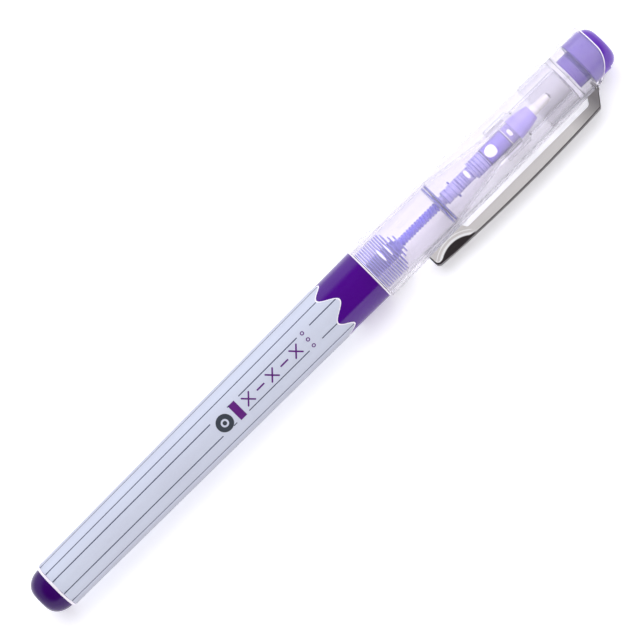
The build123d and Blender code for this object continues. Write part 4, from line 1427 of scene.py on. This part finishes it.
# %% Pocket clip: its mesh
outer_rows, inner_rows = channel_shell()
section = clip_section(outer_rows, 0.0) + clip_section(inner_rows, SHEET)[::-1]
clip_points = np.array(section)
ring_count, station_count = clip_points.shape[:2]
clip_faces = [grid_faces(ring_count, station_count, wrap_columns=False)]
outer_count = len(outer_rows)
outer_at = np.arange(outer_count)
inner_share = (ring_count - outer_count - 1) / (outer_count - 1)
inner_at = ring_count - 1 - np.round(outer_at * inner_share).astype(int)
end_cap = np.stack([outer_at[:-1], outer_at[1:], inner_at[1:], inner_at[:-1]], axis=-1)
for order, column in ((1, 0), (-1, station_count - 1)):
    clip_faces.append(end_cap[:, ::order] * station_count + column)


def bar_shell(along, height, across, edge=0.06):
    """A small bar with chamfered edges: two end rings drawn in, and two full rings between."""
    (x0, x1), (h0, h1), (w0, w1) = along, height, across
    outline = np.array([
        [x0 + edge, h0], [x1 - edge, h0], [x1, h0 + edge], [x1, h1 - edge],
        [x1 - edge, h1], [x0 + edge, h1], [x0, h1 - edge], [x0, h0 + edge],
    ])
    middle = outline.mean(axis=0)
    rings = []
    for w, drawn in ((w0, edge), (w0 + edge, 0), (w1 - edge, 0), (w1, edge)):
        size = 1 - drawn / np.array([(x1 - x0) / 2, (h1 - h0) / 2])
        ring = middle + (outline - middle) * size
        rings.append(np.stack([ring[:, 0], -ring[:, 1], np.full(8, w)], axis=-1))
    cap = np.array([[0, 1, 2, 3], [0, 3, 4, 7], [4, 5, 6, 7]])
    return np.array(rings), [grid_faces(4, 8, wrap_rows=False), cap[:, ::-1], cap + 24]


tang = bar_shell((CLIP_ROOT - SHEET, CLIP_ROOT), (ROOT_HEIGHT - 1.7, ROOT_HEIGHT + 0.3), (-1.4, 1.4))
clip_mesh = make_mesh("pocket_clip_channel", [(clip_points, clip_faces), tang], 40)
# The inside share marks where the material paints a white reflection of the cap.
inside_share = np.zeros(len(clip_mesh.data.vertices))
inside_share[outer_count * station_count : ring_count * station_count] = 1
carry(clip_mesh, "inside", inside_share)
finish_piece(clip_mesh, "clip", ["pocket_clip"], clip_steel)

# %% [markdown]
# The table is a plain pale sheet of opal acrylic, lit from below, so that its own white stays even.

# %% Table
TABLE_HALF, TABLE_DROP = 3.0, 0.00002
table_mesh = bpy.data.meshes.new("table")
table_corners = [
    (x * TABLE_HALF, y * TABLE_HALF, -TABLE_DROP) for x, y in ((-1, -1), (1, -1), (1, 1), (-1, 1))
]
table_mesh.from_pydata(table_corners, [], [(0, 1, 2, 3)])
table = bpy.data.objects.new("table", table_mesh)
bpy.context.scene.collection.objects.link(table)
LIT = {"Emission Color": hex_colour("#fbfcff"), "Emission Strength": 0.4}
opal = moulded("table_opal_acrylic_lit", "#f4f4f6", "#eeeef1", 0.9, 40.0, 2.0, 0.02, **LIT)
table_mesh.materials.append(opal)
print("table half width in metres:", TABLE_HALF)

# %% [markdown]
# The camera looks down on the table from in front, through a long lens, so that the pen's two ends are
# drawn at nearly the same scale. It is rolled so that the pen runs across the picture's diagonal.

# %% Camera
CAMERA_AWAY = 0.80
CAMERA_RISE = math.radians(58)
PICTURE_TURN = math.radians(44.93)
PICTURE_WIDTH_MM = 112.82
AIM_ACROSS_MM = -0.50
back = Vector((0, -math.cos(CAMERA_RISE), math.sin(CAMERA_RISE)))
along_pen = Vector((1, 0, 0))
clipwards = along_pen.cross(back)
right = math.cos(PICTURE_TURN) * along_pen + math.sin(PICTURE_TURN) * clipwards
up = math.sin(PICTURE_TURN) * along_pen - math.cos(PICTURE_TURN) * clipwards
middle = Vector((TAIL + span("crown_plug")[1] * MM / 2, AXIS.y, AXIS.z)) + clipwards * AIM_ACROSS_MM * MM
camera_data = bpy.data.cameras.new("camera")
camera_data.sensor_width = 36.0
camera_data.lens = 36.0 * CAMERA_AWAY / (PICTURE_WIDTH_MM * MM)
camera_data.clip_start, camera_data.clip_end = 0.01, 20.0
camera = bpy.data.objects.new("camera", camera_data)
camera_turn = Matrix((right, up, back)).transposed().to_4x4()
camera.matrix_world = Matrix.Translation(middle + back * CAMERA_AWAY) @ camera_turn
bpy.context.scene.collection.objects.link(camera)
bpy.context.scene.camera = camera
print("lens in mm:", round(camera_data.lens, 1))

# %% [markdown]
# A light tent stands round the pen: bright at the sides and behind, with a darker opening where the
# camera looks in. Glossy plastic shows that opening as its calm dark middle and the tent as its pale
# margins. Light that comes through the clear pieces never meets less than most of the tent's own
# level. A soft lamp above and one in front light what is matt and stay out of mirrors, as lamps behind
# the tent's cloth do.

# %% Light tent and lamps
OPENING = {"From Min": 0.26, "From Max": 0.64, "To Min": 1.0, "To Max": 0.06}
THROUGH_LEVEL = 0.85
world = bpy.data.worlds.new("light_tent")
bpy.context.scene.world = world
world.use_nodes = True
sky = world.node_tree
sky.nodes.clear()
sky_place = add_node(sky, "TexCoord", {}, "Generated")
towards = add_node(sky, "VectorMath", {0: sky_place, 1: tuple(back)}, "Value", operation="DOT_PRODUCT")
opening = add_node(sky, "MapRange", {"Value": towards, **OPENING}, **SMOOTH)
through = add_node(sky, "LightPath", {}, "Is Transmission Ray")
through_level = add_node(sky, "Math", {0: through, 1: THROUGH_LEVEL}, **TIMES)
strength = add_node(sky, "Math", {0: opening, 1: through_level}, operation="MAXIMUM")
tent = add_node(sky, "Background", {"Color": hex_colour("#f4f6ff"), "Strength": strength})
add_node(sky, "OutputWorld", {"Surface": tent})


def soft_lamp(name, place, size, power, colour):
    """A square area lamp aimed at the pen, which glossy surfaces don't show."""
    data = bpy.data.lights.new(name, "AREA")
    data.size, data.energy, data.color = size, power, hex_colour(colour)[:3]
    lamp = bpy.data.objects.new(name, data)
    lamp.location = place
    lamp.rotation_euler = (middle - Vector(place)).to_track_quat("-Z", "Y").to_euler()
    lamp.visible_glossy = False
    bpy.context.scene.collection.objects.link(lamp)


soft_lamp("lamp_above", (0.3, 0.3, 1.3), 1.8, 18.0, "#f8f8ff")
soft_lamp("lamp_front", (0.1, -1.2, 0.9), 1.6, 10.0, "#fff9f5")
bpy.context.scene.view_settings.view_transform = "Standard"
